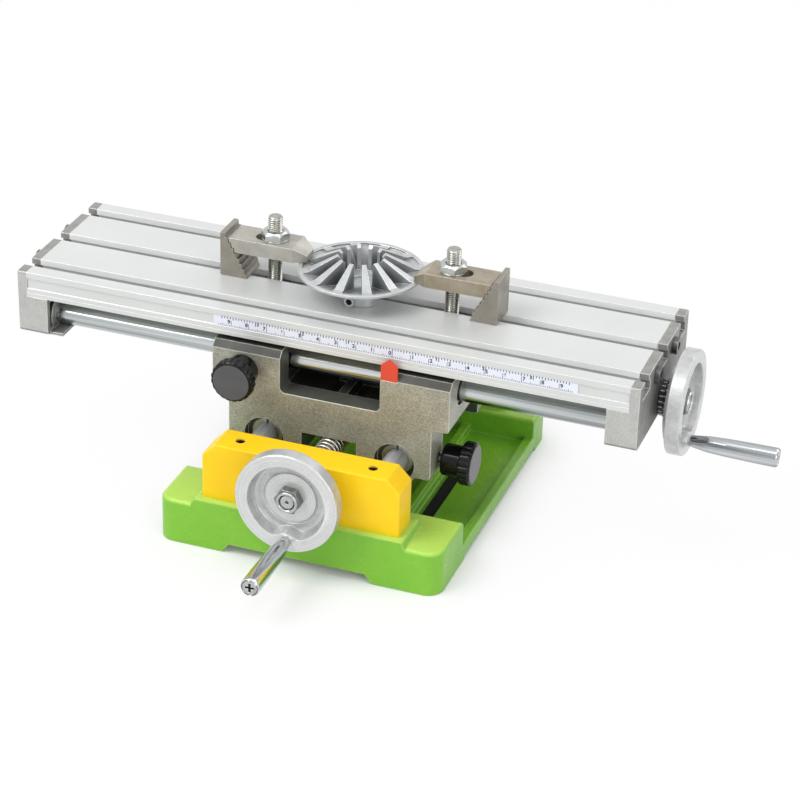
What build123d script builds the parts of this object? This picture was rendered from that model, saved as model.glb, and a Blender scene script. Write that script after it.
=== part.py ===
from build123d import *
import os

# Cross slide table: base casting, saddle on two rods along Y, slotted table on two rods along X.
# Lengths in mm. X runs along the table towards its handwheel, Y away from the operator, Z up.
# The origin is on the floor, in the middle of the base's footprint. All stands at the photograph's pose.

# rest position of the two slides: middle of the table measured from the middle of the base
table_x = -8.5
table_y = 4.0

# slotted table plate
plate_length = 336.0
plate_width = 96.0
plate_height = 14.4
plate_gap = 2.4
slot_pitch = 35.2
slot_mouth = 8.8
slot_inner = 14.0
slot_lip = 3.4
slot_depth = 9.4
relief_width = 8.0
relief_pitch = 31.7
relief_depth = 2.4
scale_gap_top = 3.6
scale_height = 5.8
scale_depth = 0.6
scale_length = 200.0
scale_zero = 41.0
scale_sheet = 0.4

# end brackets of the table
bracket_lip = 5.4
bracket_drop = 7.8
bracket_block = 17.0
bracket_wall = 3.0
bracket_flange = 7.6
bracket_flange_height = 1.6
bracket_corner = 2.5
bracket_screw_y = 17.6
bracket_screw_drop = 6.4
bracket_screw_radius = 2.5
bracket_screw_head = 4.6
bracket_screw_head_height = 3.0
bracket_screw_socket_depth = 1.6
bracket_screw_grip = 12.0
boss_radius = 10.5

# guide rods and lead screws
rod_radius = 6.0
x_rod_half_gap = 32.5
axis_gap = 40.2
y_rod_half_gap = 36.8
y_axis_rise = 18.3
screw_radius = 5.0
journal_radius = 4.0
running = 0.05
past = 1.0
near = 0.1
seat = 0.3
rod_seat_depth = 12.0
screw_end_sunk = 1.0
screw_tip_sunk = 1.8
rod_hole_gap = 1.0
screw_hole_gap = 1.5

# saddle casting
saddle_front_depth = 52.3
saddle_back_depth = 46.0
saddle_half = 66.3
saddle_lower_half = 57.0
saddle_shoulder_drop = 16.4
saddle_foot_drop = 6.4
saddle_boss = 13.3
saddle_above_rods = 11.6
saddle_chamfer = 3.5
saddle_edge = 1.5
window_half = 28.0
window_drop = 11.6
window_corner = 3.0
cavity_half = 36.0
cavity_front_wall = 12.0
cavity_back_wall = 8.0
cavity_drop = 23.0
cavity_rib = 5.0
cavity_rib_height = 7.0
cavity_rib_angle = 42.0
cavity_rib_root = 3.0
bush_outer = 8.3
bush_length = 9.0
y_bush_length = 6.4
bush_recess = 1.6
bush_slit = 1.2
y_mouth_radius = 11.2
y_mouth_depth = 5.0
screw_way_width = 31.0
screw_way_height = 14.4
screw_way_depth = 40.0
leg_depth = 19.5
keel_half = 20.0
arch_ceiling_drop = 4.0
nut_block_depth = 15.0
nut_block_width = 22.0
nut_block_height = 20.0
x_nut_length = 20.0
x_nut_height = 19.0
y_nut_length = 16.0
y_nut_radius = 9.0

# pointer
pointer_x = 32.7
pointer_width = 9.2
pointer_sheet = 1.2
pointer_seat = 4.0
pointer_point = 3.6
pointer_lap = 1.0

# blocks that hold the rods along Y
block_half = 54.8
seat_rise = 3.5
block_height = 32.5
block_chamfer = 7.2
block_edge = 0.8
rod_end_wall = 2.0
block_inset = 4.4
front_block_depth = 18.6
rear_block_depth = 12.0
seat_margin = 3.0
grub_radius = 2.6
grub_sunk = 1.0
grub_socket = 2.0
block_bolt_x = 26.0
block_bolt_radius = 3.0
block_bolt_head = 5.0
block_bolt_head_height = 4.0
block_bolt_reach = 13.0
block_bolt_play = 1.0

# base casting
base_half_x = 79.0
base_half_y = 94.0
base_corner = 9.0
base_edge = 2.4
seat_edge = 1.6
front_bar_depth = 38.0
back_bar_depth = 26.0
pad_height = 25.0
back_bar_height = 21.0
seat_half = 58.0
seat_flare = 2.6
floor_height = 7.0
rim_height = 10.0
rim_width = 5.0
slot_x = 48.9
slot_width = 9.0
slot_front_gap = 10.0
slot_back_gap = 34.0
rib_inner = 37.0
rib_outer = 41.5
rib_height = 11.0
centre_floor = 5.0
arch_half = 38.0
arch_height = 5.0
arch_flare = 4.0
side_arch_height = 2.2
side_arch_inset = 4.0
under_wall = 5.0
under_ceiling = 8.0
under_floor = 2.2

# handwheels
wheel_radius = 28.2
wheel_inner = 21.4
wheel_rim = 8.0
wheel_web_front = 8.0
wheel_web_back = 10.2
wheel_hub = 14.6
wheel_hub_front = 6.8
wheel_hub_back = 11.2
wheel_edge = 1.0
wheel_bell = 2.0
wheel_bell_foot = 0.8
wheel_hub_taper = 2.0
handle_offset = 22.4
handle_boss = 6.0
x_wheel_reach = 16.6
y_wheel_reach = 19.4
collar_radius = 11.0
collar_step = 1.5
collar_neck = 2.7
hub_nut_flats = 13.0
hub_nut_height = 4.4
hub_nut_dome = 5.6
hub_nut_dome_height = 1.6
grip_length = 47.0
grip_gap = 0.6
grip_root = 3.9
grip_end = 5.2
grip_neck = 3.0
grip_tip = 3.0
grip_round = 1.0
pin_radius = 2.5
pin_head = 4.0
pin_head_height = 1.8
pin_head_proud = 0.4

# thread leads: turn of a handwheel to travel of its slide
lead = 2.0

# spring on the cross screw
spring_radius = 6.1
spring_wire = 0.8
spring_pitch = 3.4

# lock knobs
lock_stud_radius = 3.0
lock_collar_radius = 8.6
lock_collar_length = 10.6
lock_head_radius = 11.8
lock_head_length = 6.7
lock_flutes = 20
lock_flute_radius = 1.3
lock_head_edge = 1.0
lock_flute_out = 0.55
lock_insert = 3.0
lock_stand_off = 2.7
lock_travel_in = 2.2
lock_tip_gap = 0.1
front_lock_inset = 18.8
side_lock_inset = 14.8

# work clamps in the middle slot
left_stud_x = -43.5
right_stud_x = 57.0
stud_radius = 4.0
stud_above_strap = 14.4
t_head_half = 6.4
t_head_height = 5.0
rest_gap = 0.3
step_block_reach = 28.0
step_block_width = 15.3
step_block_height = 25.0
step_block_crown = 2.5
step_block_depth = 19.0
step_count = 8
step_toe = 2.0
step_undercut = 0.25
step_gap = 0.3
strap_lift = 14.2
strap_height = 8.0
strap_half_depth = 9.0
strap_heel = 24.0
strap_nose = 20.0
strap_nose_taper = 7.0
strap_nose_drop = 4.6
strap_slot_radius = 4.6
strap_slot_out = 6.4
strap_slot_in = 2.3
washer_radius = 7.2
washer_height = 0.8
clamp_nut_flats = 13.0
clamp_nut_height = 5.6
clamp_nut_turn = 9.5

# clamped finned disc
disc_x = 5.6
disc_radius = 33.8
disc_rim_inner = 31.6
disc_rim_height = 1.4
disc_lip = 1.1
disc_dish = 6.7
disc_plate = 1.6
disc_hub = 8.8
disc_bore = 5.0
disc_fins = 12
disc_fin_first = 26.4
disc_fin_angle = 10.0
disc_fin_root = 11.2
disc_fin_end = 28.8
disc_fin_rise = 8.2
disc_fin_round = 1.6
disc_fin_sunk = 0.2
set_screw_radius = 1.4
set_screw_boss = 2.5
set_screw_reach = 11.6
set_screw_sunk = 0.8
set_screw_angle = -113.0

# heights and places that follow from the sizes above
block_foot = pad_height + seat_rise
block_top = block_foot + block_height
y_axis_height = block_foot + y_axis_rise
x_axis_height = y_axis_height + axis_gap
saddle_bottom = y_axis_height - saddle_foot_drop
saddle_shoulder = x_axis_height - saddle_shoulder_drop
saddle_top = x_axis_height + saddle_above_rods
window_floor = x_axis_height - window_drop
cavity_floor = x_axis_height - cavity_drop
cavity_rib_top = cavity_floor + cavity_rib_height
plate_foot = saddle_top + plate_gap
plate_top = plate_foot + plate_height
bracket_foot = x_axis_height - bracket_drop
scale_top = plate_top - scale_gap_top
plate_left = table_x - plate_length / 2
plate_right = table_x + plate_length / 2
plate_front = table_y - plate_width / 2
plate_back = table_y + plate_width / 2
right_face = plate_right + bracket_lip
left_face = plate_left - bracket_lip
saddle_front = table_y - saddle_front_depth
saddle_back = table_y + saddle_back_depth
front_lock_x = -saddle_half + front_lock_inset
side_lock_y = saddle_front + side_lock_inset
front_block_front = -base_half_y + block_inset
front_block_back = front_block_front + front_block_depth
rear_block_back = base_half_y - block_inset
rear_block_front = rear_block_back - rear_block_depth
bar_front = -base_half_y + front_bar_depth
bar_back = base_half_y - back_bar_depth
seat_front_inner = front_block_back + seat_margin
seat_back_inner = rear_block_front - seat_margin
slot_front = bar_front + slot_front_gap
slot_back = bar_back - slot_back_gap
under_pocket = pad_height - under_ceiling
under_back_pocket = back_bar_height - under_ceiling
strap_foot = plate_top + strap_lift
strap_top = strap_foot + strap_height
stud_top = strap_top + stud_above_strap
disc_top = strap_foot - rest_gap
disc_floor_outer = disc_top - disc_lip
disc_floor_inner = disc_top - disc_dish


def box(x0, x1, y0, y1, z0, z1):
    return Pos((x0 + x1) / 2, (y0 + y1) / 2, (z0 + z1) / 2) * Box(x1 - x0, y1 - y0, z1 - z0)


def rod_x(radius, x0, x1, y, z):
    return Pos((x0 + x1) / 2, y, z) * Rot(0, 90, 0) * Cylinder(radius, abs(x1 - x0))


def rod_y(radius, y0, y1, x, z):
    return Pos(x, (y0 + y1) / 2, z) * Rot(90, 0, 0) * Cylinder(radius, abs(y1 - y0))


def rod_z(radius, z0, z1, x, y):
    return Pos(x, y, (z0 + z1) / 2) * Cylinder(radius, abs(z1 - z0))


def solid_xz(points, y0, y1):
    # a closed outline in X and Z, drawn out along Y
    face = make_face(Polyline(*[(x, 0, z) for x, z in points], close=True))
    return Pos(0, y0, 0) * extrude(face, y1 - y0, dir=(0, 1, 0))


def solid_yz(points, x0, x1):
    # a closed outline in Y and Z, drawn out along X
    face = make_face(Polyline(*[(0, y, z) for y, z in points], close=True))
    return Pos(x0, 0, 0) * extrude(face, x1 - x0, dir=(1, 0, 0))


def upright_edges(solid, half_x, half_y, slack):
    # the vertical edges that stand outside a rectangle of half sizes half_x and half_y
    edges = solid.edges().filter_by(Axis.Z)
    edges = edges.filter_by(lambda e: abs(e.center().X) > half_x - slack)
    return edges.filter_by(lambda e: abs(e.center().Y) > half_y - slack)


def save(name, shape):
    solids = shape.solids()
    whole = Compound(label=name, children=list(solids)) if len(solids) > 1 else solids[0]
    export_step(whole, f"parts/{name}.step")


def slot_centres():
    return [table_y + k * slot_pitch for k in (-1, 0, 1)]


def slot_cut(y, x0, x1):
    mouth = box(x0, x1, y - slot_mouth / 2, y + slot_mouth / 2, plate_top - slot_depth, plate_top + past)
    inner = box(x0, x1, y - slot_inner / 2, y + slot_inner / 2, plate_top - slot_depth, plate_top - slot_lip)
    return mouth + inner


def table_plate():
    plate = box(plate_left, plate_right, plate_front, plate_back, plate_foot, plate_top)
    for y in slot_centres():
        plate -= slot_cut(y, plate_left - past, plate_right + past)
    for k in (-1.5, -0.5, 0.5, 1.5):
        y = table_y + k * relief_pitch
        plate -= box(plate_left - past, plate_right + past, y - relief_width / 2, y + relief_width / 2,
                     plate_foot - past, plate_foot + relief_depth)
    plate -= box(plate_left - past, plate_right + past, plate_front - past, plate_front + scale_depth,
                 scale_top - scale_height, scale_top)
    for screw in bracket_screw_shanks():
        plate -= screw
    return plate


def scale_strip():
    middle = table_x + scale_zero
    return box(middle - scale_length / 2, middle + scale_length / 2, plate_front + scale_depth - scale_sheet,
               plate_front + scale_depth, scale_top - scale_height, scale_top)


def bracket_screw_places():
    z = plate_top - bracket_screw_drop
    faces = ((left_face, -1), (right_face, 1))
    return [(x, side, table_y + k * bracket_screw_y, z) for x, side in faces for k in (-1, 1)]


def bracket_screw_shanks():
    reach = bracket_lip + bracket_screw_grip
    return [rod_x(bracket_screw_radius, min(x, x - side * reach), max(x, x - side * reach), y, z)
            for x, side, y, z in bracket_screw_places()]


def bracket_screws():
    screws = []
    for (x, side, y, z), shank in zip(bracket_screw_places(), bracket_screw_shanks()):
        tip = x + side * bracket_screw_head_height
        head = rod_x(bracket_screw_head, min(x, tip), max(x, tip), y, z)
        socket = rod_x(bracket_screw_head / 2, min(tip, tip - side * bracket_screw_socket_depth),
                       max(tip, tip - side * bracket_screw_socket_depth), y, z)
        screws.append(shank + head - socket)
    return Compound(children=screws)


def bracket(side):
    # one end bracket: a plate over the end of the extrusion and a hollow block under it
    face = right_face if side > 0 else left_face
    end = plate_right if side > 0 else plate_left
    inner = face - side * bracket_block
    x0, x1 = min(face, end), max(face, end)
    body = box(x0, x1, plate_front, plate_back, bracket_foot, plate_top)
    lower = box(min(face, inner), max(face, inner), plate_front, plate_back, bracket_foot, plate_foot)
    body += lower
    along = body.edges().filter_by(Axis.X)
    corners = along.filter_by(lambda e: e.center().Z < bracket_foot + 0.1)
    body = fillet(corners, bracket_corner)
    pocket_face = face - side * bracket_lip
    pocket = box(min(pocket_face, inner - side), max(pocket_face, inner - side), plate_front + bracket_wall,
                 plate_back - bracket_wall, bracket_foot + bracket_wall, plate_foot - bracket_wall)
    body -= pocket
    if side < 0:
        body += box(inner - past, inner + bracket_flange,
                    plate_front + bracket_corner, plate_back - bracket_corner,
                    bracket_foot, bracket_foot + bracket_flange_height)
    for y in (table_y - x_rod_half_gap, table_y, table_y + x_rod_half_gap):
        body += rod_x(boss_radius, min(pocket_face, inner), max(pocket_face, inner), y, x_axis_height) & lower
    for y in slot_centres():
        body -= slot_cut(y, x0 - past, x1 + past)
    for y in (table_y - x_rod_half_gap, table_y + x_rod_half_gap):
        deep = inner + side * rod_seat_depth
        body -= rod_x(rod_radius, min(inner - side, deep), max(inner - side, deep), y, x_axis_height)
    body -= rod_x(journal_radius + running, min(face + side, inner - side), max(face + side, inner - side),
                  table_y, x_axis_height)
    for screw in bracket_screw_shanks():
        body -= screw
    return body


def x_guide_rods():
    left = left_face + bracket_block - rod_seat_depth
    right = right_face - bracket_block + rod_seat_depth
    return Compound(children=[rod_x(rod_radius, left, right, table_y + k * x_rod_half_gap, x_axis_height)
                              for k in (-1, 1)])


def x_lead_screw():
    inner_left = left_face + bracket_block + seat
    inner_right = right_face - bracket_block - seat
    tip = right_face + x_wheel_reach - screw_tip_sunk
    screw = rod_x(screw_radius, inner_left, inner_right, table_y, x_axis_height)
    screw += rod_x(journal_radius, left_face + screw_end_sunk, inner_left, table_y, x_axis_height)
    screw += rod_x(journal_radius, inner_right, tip, table_y, x_axis_height)
    return screw


def saddle_outline():
    # the T-shaped front outline
    return [(-saddle_half, saddle_top), (saddle_half, saddle_top), (saddle_half, saddle_shoulder),
            (saddle_lower_half, saddle_shoulder), (saddle_lower_half, saddle_bottom),
            (-saddle_lower_half, saddle_bottom), (-saddle_lower_half, saddle_shoulder),
            (-saddle_half, saddle_shoulder)]


def saddle_cuts():
    front_wall = saddle_front + cavity_front_wall
    back_wall = saddle_back - cavity_back_wall
    cavity = box(-cavity_half, cavity_half, front_wall, back_wall, cavity_floor, saddle_top + past)
    window = box(-window_half, window_half, saddle_front - past, front_wall + past,
                 window_floor, saddle_top + past)
    window = fillet(window.edges().filter_by(Axis.Y).group_by(Axis.Z)[0], window_corner)
    way = box(-screw_way_width / 2, screw_way_width / 2, saddle_front - past, saddle_front + screw_way_depth,
              y_axis_height - saddle_boss - past, y_axis_height + screw_way_height / 2)
    return cavity + window + way


def saddle_bosses():
    # round bosses below the flat foot, one to each bore along Y: two short ones to a rod, one for the nut
    bosses = []
    for x in (-y_rod_half_gap, y_rod_half_gap):
        bosses.append(rod_y(saddle_boss, saddle_front, saddle_front + leg_depth, x, y_axis_height))
        bosses.append(rod_y(saddle_boss, saddle_back - leg_depth, saddle_back, x, y_axis_height))
    bosses.append(rod_y(saddle_boss, saddle_front + screw_way_depth, saddle_back, 0, y_axis_height))
    return bosses


def saddle_arches():
    # openings from side to side between the front and rear legs, on both sides of the middle keel
    ceiling = cavity_floor - arch_ceiling_drop
    foot = y_axis_height - saddle_boss - past
    return [box(*sorted((k * keel_half, k * (saddle_half + past))),
                saddle_front + leg_depth, saddle_back - leg_depth, foot, ceiling) for k in (-1, 1)]


def saddle_ribs():
    # three ribs that meet on the cavity's floor, and the block that holds the nut of the long screw
    rib = box(-cavity_rib / 2, cavity_rib / 2, saddle_front + cavity_front_wall - past, table_y,
              cavity_floor - past, cavity_rib_top)
    arm = box(-cavity_rib / 2, cavity_rib / 2, 0, saddle_back - table_y, cavity_floor - past, cavity_rib_top)
    ribs = rib
    for k in (-1, 1):
        ribs += Pos(0, table_y, 0) * Rot(0, 0, k * cavity_rib_angle) * arm
    half = cavity_half + cavity_rib_root
    inside = box(-half, half, saddle_front + cavity_front_wall - cavity_rib_root,
                 saddle_back - cavity_back_wall + cavity_rib_root, cavity_floor - past, cavity_rib_top)
    pillar = box(-nut_block_width / 2, nut_block_width / 2, table_y - nut_block_depth / 2,
                 table_y + nut_block_depth / 2, cavity_floor - past, x_axis_height - nut_block_height / 2)
    return (ribs & inside) + pillar


def x_bush_places():
    return [(side, table_y + k * x_rod_half_gap) for side in (-1, 1) for k in (-1, 1)]


def y_bush_places():
    return [(k * y_rod_half_gap, end) for k in (-1, 1) for end in (-1, 1)]


def bush_x(side, y):
    outer = side * (saddle_half - bush_recess)
    inner = outer - side * bush_length
    x0, x1 = min(outer, inner), max(outer, inner)
    ring = rod_x(bush_outer, x0, x1, y, x_axis_height)
    ring -= rod_x(rod_radius + running, x0 - past, x1 + past, y, x_axis_height)
    return ring - box(x0 - past, x1 + past, y - bush_slit / 2, y + bush_slit / 2,
                      x_axis_height, x_axis_height + bush_outer + past)


def bush_y(x, end):
    outer = saddle_front + y_mouth_depth if end < 0 else saddle_back - bush_recess
    inner = outer - end * y_bush_length
    y0, y1 = min(outer, inner), max(outer, inner)
    ring = rod_y(bush_outer, y0, y1, x, y_axis_height)
    ring -= rod_y(rod_radius + running, y0 - past, y1 + past, x, y_axis_height)
    return ring - box(x - bush_slit / 2, x + bush_slit / 2, y0 - past, y1 + past,
                      y_axis_height, y_axis_height + bush_outer + past)


def rod_bushes():
    rings = [bush_x(side, y) for side, y in x_bush_places()] + [bush_y(x, end) for x, end in y_bush_places()]
    return Compound(children=rings)


def saddle_casting():
    body = solid_xz(saddle_outline(), saddle_front, saddle_back)
    lengthwise = body.edges().filter_by(Axis.Y).filter_by(lambda e: e.center().Z < saddle_top - past)
    body = fillet(lengthwise, saddle_edge)
    front_top = body.edges().filter_by(Axis.X).filter_by(
        lambda e: e.center().Z > saddle_top - near and e.center().Y < saddle_front + near)
    body = chamfer(front_top, saddle_chamfer)
    for boss in saddle_bosses():
        body += boss
    for opening in [saddle_cuts()] + saddle_arches():
        body -= opening
    body += saddle_ribs()
    for k in (-1, 1):
        y = table_y + k * x_rod_half_gap
        body -= rod_x(rod_radius + rod_hole_gap, -saddle_half - past, saddle_half + past, y, x_axis_height)
        x = k * y_rod_half_gap
        body -= rod_y(rod_radius + rod_hole_gap, saddle_front - past, saddle_back + past, x, y_axis_height)
        body -= rod_y(y_mouth_radius, saddle_front - past, saddle_front + y_mouth_depth, x, y_axis_height)
    for side, y in x_bush_places():
        end = side * (saddle_half + past)
        inner = side * (saddle_half - bush_recess - bush_length)
        body -= rod_x(bush_outer, min(end, inner), max(end, inner), y, x_axis_height)
    for x, end in y_bush_places():
        outer = saddle_front if end < 0 else saddle_back + 1
        shelf = saddle_front + y_mouth_depth if end < 0 else saddle_back - bush_recess
        y0, y1 = sorted((outer, shelf - end * y_bush_length))
        body -= rod_y(bush_outer, y0, y1, x, y_axis_height)
    body -= rod_x(screw_radius + screw_hole_gap, -saddle_half - past, saddle_half + past,
                  table_y, x_axis_height)
    body -= rod_y(screw_radius + screw_hole_gap, saddle_front, saddle_back + past, 0, y_axis_height)
    nut_seat = saddle_front + screw_way_depth
    body -= rod_y(y_nut_radius, nut_seat - past, nut_seat + y_nut_length, 0, y_axis_height)
    body -= lock_stud_holes()
    body -= pointer_notch()
    return body


def lock_stud_holes():
    radius = lock_stud_radius + running
    front = rod_y(radius, saddle_front - past, table_y - x_rod_half_gap, front_lock_x, x_axis_height)
    side = rod_x(radius, y_rod_half_gap, saddle_lower_half + past, side_lock_y, y_axis_height)
    return front + side


def pointer_notch():
    return box(pointer_x - pointer_width / 2, pointer_x + pointer_width / 2, saddle_front - past,
               saddle_front + pointer_sheet, saddle_top - pointer_seat, saddle_top + past)


def pointer():
    half = pointer_width / 2
    foot = saddle_top - pointer_seat
    tip = scale_top - scale_height + pointer_lap
    outline = [(pointer_x - half, foot), (pointer_x + half, foot), (pointer_x + half, tip - pointer_point),
               (pointer_x, tip), (pointer_x - half, tip - pointer_point)]
    return solid_xz(outline, saddle_front, saddle_front + pointer_sheet)


def x_nut():
    half = x_nut_length / 2
    foot = x_axis_height - nut_block_height / 2
    nut = box(-half, half, table_y - nut_block_depth / 2, table_y + nut_block_depth / 2,
              foot, foot + x_nut_height)
    return nut - rod_x(screw_radius + running, -half - past, half + past, table_y, x_axis_height)


def y_nut():
    y0 = saddle_front + screw_way_depth
    y1 = y0 + y_nut_length
    nut = rod_y(y_nut_radius, y0, y1, 0, y_axis_height)
    return nut - rod_y(screw_radius + running, y0 - past, y1 + past, 0, y_axis_height)


def block_outline():
    low = block_top - block_chamfer
    in_x = block_half - block_chamfer
    return [(-block_half, block_foot), (block_half, block_foot), (block_half, low), (in_x, block_top),
            (-in_x, block_top), (-block_half, low)]


def rod_block(y0, y1, front):
    body = solid_xz(block_outline(), y0, y1)
    body = fillet(body.edges().filter_by(lambda e: e.center().Z > block_foot + block_edge), block_edge)
    body -= rod_y(journal_radius + running, y0 - past, y1 + past, 0, y_axis_height)
    middle = (y0 + y1) / 2
    for k in (-1, 1):
        x = k * y_rod_half_gap
        body -= rod_y(rod_radius, y0 + rod_end_wall if front else y0 - past,
                      y1 + 1 if front else y1 - rod_end_wall, x, y_axis_height)
        body -= rod_z(grub_radius, y_axis_height, block_top + past, x, middle)
        body -= rod_z(block_bolt_radius, block_foot - past, block_foot + block_bolt_reach,
                      k * block_bolt_x, middle)
    return body


def front_block():
    return rod_block(front_block_front, front_block_back, True)


def rear_block():
    return rod_block(rear_block_front, rear_block_back, False)


def block_middles():
    return [(front_block_front + front_block_back) / 2, (rear_block_front + rear_block_back) / 2]


def block_grub_screws():
    top = block_top - grub_sunk
    screws = []
    for y in block_middles():
        for k in (-1, 1):
            x = k * y_rod_half_gap
            screw = rod_z(grub_radius, y_axis_height + rod_radius, top, x, y)
            screws.append(screw - rod_z(grub_radius / 2, top - grub_socket, top + past, x, y))
    return Compound(children=screws)


def block_bolts():
    bolts = []
    for y, ceiling in zip(block_middles(), (under_pocket, under_back_pocket)):
        for k in (-1, 1):
            x = k * block_bolt_x
            shank = rod_z(block_bolt_radius, ceiling, block_foot + block_bolt_reach - block_bolt_play, x, y)
            head = Pos(x, y, ceiling - block_bolt_head_height) * extrude(
                RegularPolygon(block_bolt_head, 6, major_radius=False), block_bolt_head_height)
            bolts.append(shank + head)
    return Compound(children=bolts)


def y_guide_rods():
    start = front_block_front + rod_end_wall
    end = rear_block_back - rod_end_wall
    return Compound(children=[rod_y(rod_radius, start, end, k * y_rod_half_gap, y_axis_height)
                              for k in (-1, 1)])


def y_lead_screw():
    inner_front = front_block_back + seat
    inner_back = rear_block_front - seat
    tip = front_block_front - y_wheel_reach + screw_tip_sunk
    screw = rod_y(screw_radius, inner_front, inner_back, 0, y_axis_height)
    screw += rod_y(journal_radius, tip, inner_front, 0, y_axis_height)
    screw += rod_y(journal_radius, inner_back, rear_block_back - screw_end_sunk, 0, y_axis_height)
    return screw


def y_spring():
    start = front_block_back + spring_wire + seat
    length = saddle_front + screw_way_depth - spring_wire - seat - start
    path = Helix(pitch=spring_pitch, height=length, radius=spring_radius)
    wire = Plane(origin=path @ 0, z_dir=path % 0) * Circle(spring_wire)
    coil = sweep(wire, path=path, is_frenet=True)
    return Pos(0, start, y_axis_height) * Rot(-90, 0, 0) * coil


def base_casting():
    body = box(-base_half_x, base_half_x, -base_half_y, base_half_y, 0, rim_height)
    body += box(-base_half_x, base_half_x, -base_half_y, bar_front, 0, pad_height)
    body += box(-base_half_x, base_half_x, bar_back, base_half_y, 0, back_bar_height)
    body = fillet(upright_edges(body, base_half_x, base_half_y, 1), base_corner)
    for top in (pad_height, back_bar_height):
        body = fillet(body.edges().filter_by(lambda e: abs(e.center().Z - top) < base_edge / 2), base_edge)
    body += base_seats()
    body -= base_floor()
    for k in (-1, 1):
        x0, x1 = sorted((k * rib_inner, k * rib_outer))
        body += box(x0, x1, bar_front - past, bar_back + past, floor_height - past, rib_height)
    body -= base_slots()
    body -= base_underside()
    for y in block_middles():
        for k in (-1, 1):
            body -= rod_z(block_bolt_radius, floor_height, block_foot + past, k * block_bolt_x, y)
    return body


def base_seats():
    # raised seats under the two blocks, with sloping ends and soft edges
    seats = []
    for foot, y0, y1 in ((pad_height - base_edge, -base_half_y, seat_front_inner),
                         (back_bar_height - base_edge, seat_back_inner, base_half_y)):
        wide = seat_half + seat_flare
        outline = [(-wide, foot), (wide, foot), (seat_half, block_foot), (-seat_half, block_foot)]
        raised = solid_xz(outline, y0, y1)
        seats.append(fillet(raised.edges().filter_by(Axis.Y).group_by(Axis.Z)[-1], seat_edge))
    return seats[0] + seats[1]


def base_floor():
    side = base_half_x - rim_width
    floor = box(-side, side, bar_front, bar_back, floor_height, pad_height + past)
    middle = box(-rib_inner, rib_inner, bar_front, bar_back, centre_floor, floor_height + past)
    return floor + middle


def base_slots():
    cuts = []
    for k in (-1, 1):
        x = k * slot_x
        half = slot_width / 2
        cuts.append(box(x - half, x + half, slot_front + half, slot_back - half, -past, floor_height + past))
        cuts.append(rod_z(half, -past, floor_height + past, x, slot_front + half))
        cuts.append(rod_z(half, -past, floor_height + past, x, slot_back - half))
    return Compound(children=cuts)


def base_underside():
    in_x = base_half_x - under_wall
    in_y = base_half_y - under_wall
    cuts = [box(-in_x, in_x, -in_y, bar_front - under_wall, -past, under_pocket),
            box(-in_x, in_x, bar_back + under_wall, in_y, -past, under_back_pocket),
            box(-in_x, in_x, bar_front - under_wall, bar_back + under_wall, -past, under_floor),
            box(-base_half_x - past, base_half_x + past,
                bar_front + side_arch_inset, bar_back + side_arch_inset, -past, side_arch_height)]
    foot = arch_half + arch_flare
    arch = [(-foot, -running), (foot, -running), (arch_half, arch_height), (-arch_half, arch_height)]
    cuts.append(solid_xz(arch, -base_half_y - past, -in_y + past))
    cuts.append(solid_xz(arch, in_y - past, base_half_y + past))
    return Compound(children=cuts)


def wheel_profile():
    # half section of a handwheel: radius, then distance behind the front of the rim
    return [(journal_radius, wheel_hub_front), (wheel_hub, wheel_hub_front), (wheel_hub, wheel_web_front),
            (wheel_inner, wheel_web_front), (wheel_inner, 0), (wheel_radius - wheel_edge, 0),
            (wheel_radius, wheel_edge), (wheel_radius, wheel_rim - wheel_edge),
            (wheel_radius - wheel_edge, wheel_rim), (wheel_inner + wheel_bell, wheel_rim),
            (wheel_inner + wheel_bell_foot, wheel_web_back),
            (wheel_hub - wheel_hub_taper, wheel_hub_back),
            (journal_radius, wheel_hub_back)]


def wheel():
    # axis along +Z, front of the rim at z = 0, handle boss at -X
    face = make_face(Polyline(*[(r, 0, -t) for r, t in wheel_profile()], close=True))
    body = revolve(face, Axis.Z)
    boss = rod_z(handle_boss, -wheel_web_back, 0, -handle_offset, 0)
    body += boss & rod_z(wheel_radius, -wheel_web_back, 0, 0, 0)
    return body - rod_z(pin_radius, -wheel_web_back - past, past, -handle_offset, 0)


def hub_nut():
    hexagon = extrude(RegularPolygon(hub_nut_flats / 2, 6, major_radius=False), hub_nut_height)
    nut = Pos(0, 0, -wheel_hub_front) * hexagon
    nut += rod_z(hub_nut_dome, -wheel_hub_front, hub_nut_height - wheel_hub_front + hub_nut_dome_height, 0, 0)
    return nut - rod_z(journal_radius, -wheel_hub_front - past, hub_nut_height + hub_nut_dome_height, 0, 0)


def collar(reach):
    # graduated ring between the block and the wheel, with a narrower rear step
    back = -reach + seat
    ring = rod_z(collar_radius, back + collar_neck, -wheel_hub_back, 0, 0)
    ring += rod_z(collar_radius - collar_step, back, -wheel_hub_back, 0, 0)
    return ring - rod_z(journal_radius, back - past, 0, 0, 0)


def handle_pin():
    tip = grip_gap + grip_length
    pin = rod_z(pin_radius, -wheel_web_back, tip - pin_head_height, -handle_offset, 0)
    head = rod_z(pin_head, tip - pin_head_height + 2 * running, tip + pin_head_proud, -handle_offset, 0)
    return pin + head + rod_z(pin_radius, tip - pin_head_height, tip, -handle_offset, 0)


def grip():
    start = grip_gap
    far = grip_gap + grip_length
    outline = [(0, start), (grip_root, start), (grip_root, start + grip_neck), (grip_end, far - grip_tip),
               (grip_end, far - grip_round), (grip_end - grip_round, far), (0, far)]
    face = make_face(Polyline(*[(r, 0, z) for r, z in outline], close=True))
    body = Pos(-handle_offset, 0, 0) * revolve(face, Axis.Z)
    body -= rod_z(pin_radius + running, start - past, far + past, -handle_offset, 0)
    return body - rod_z(pin_head + running, far - pin_head_height, far + past, -handle_offset, 0)


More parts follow.
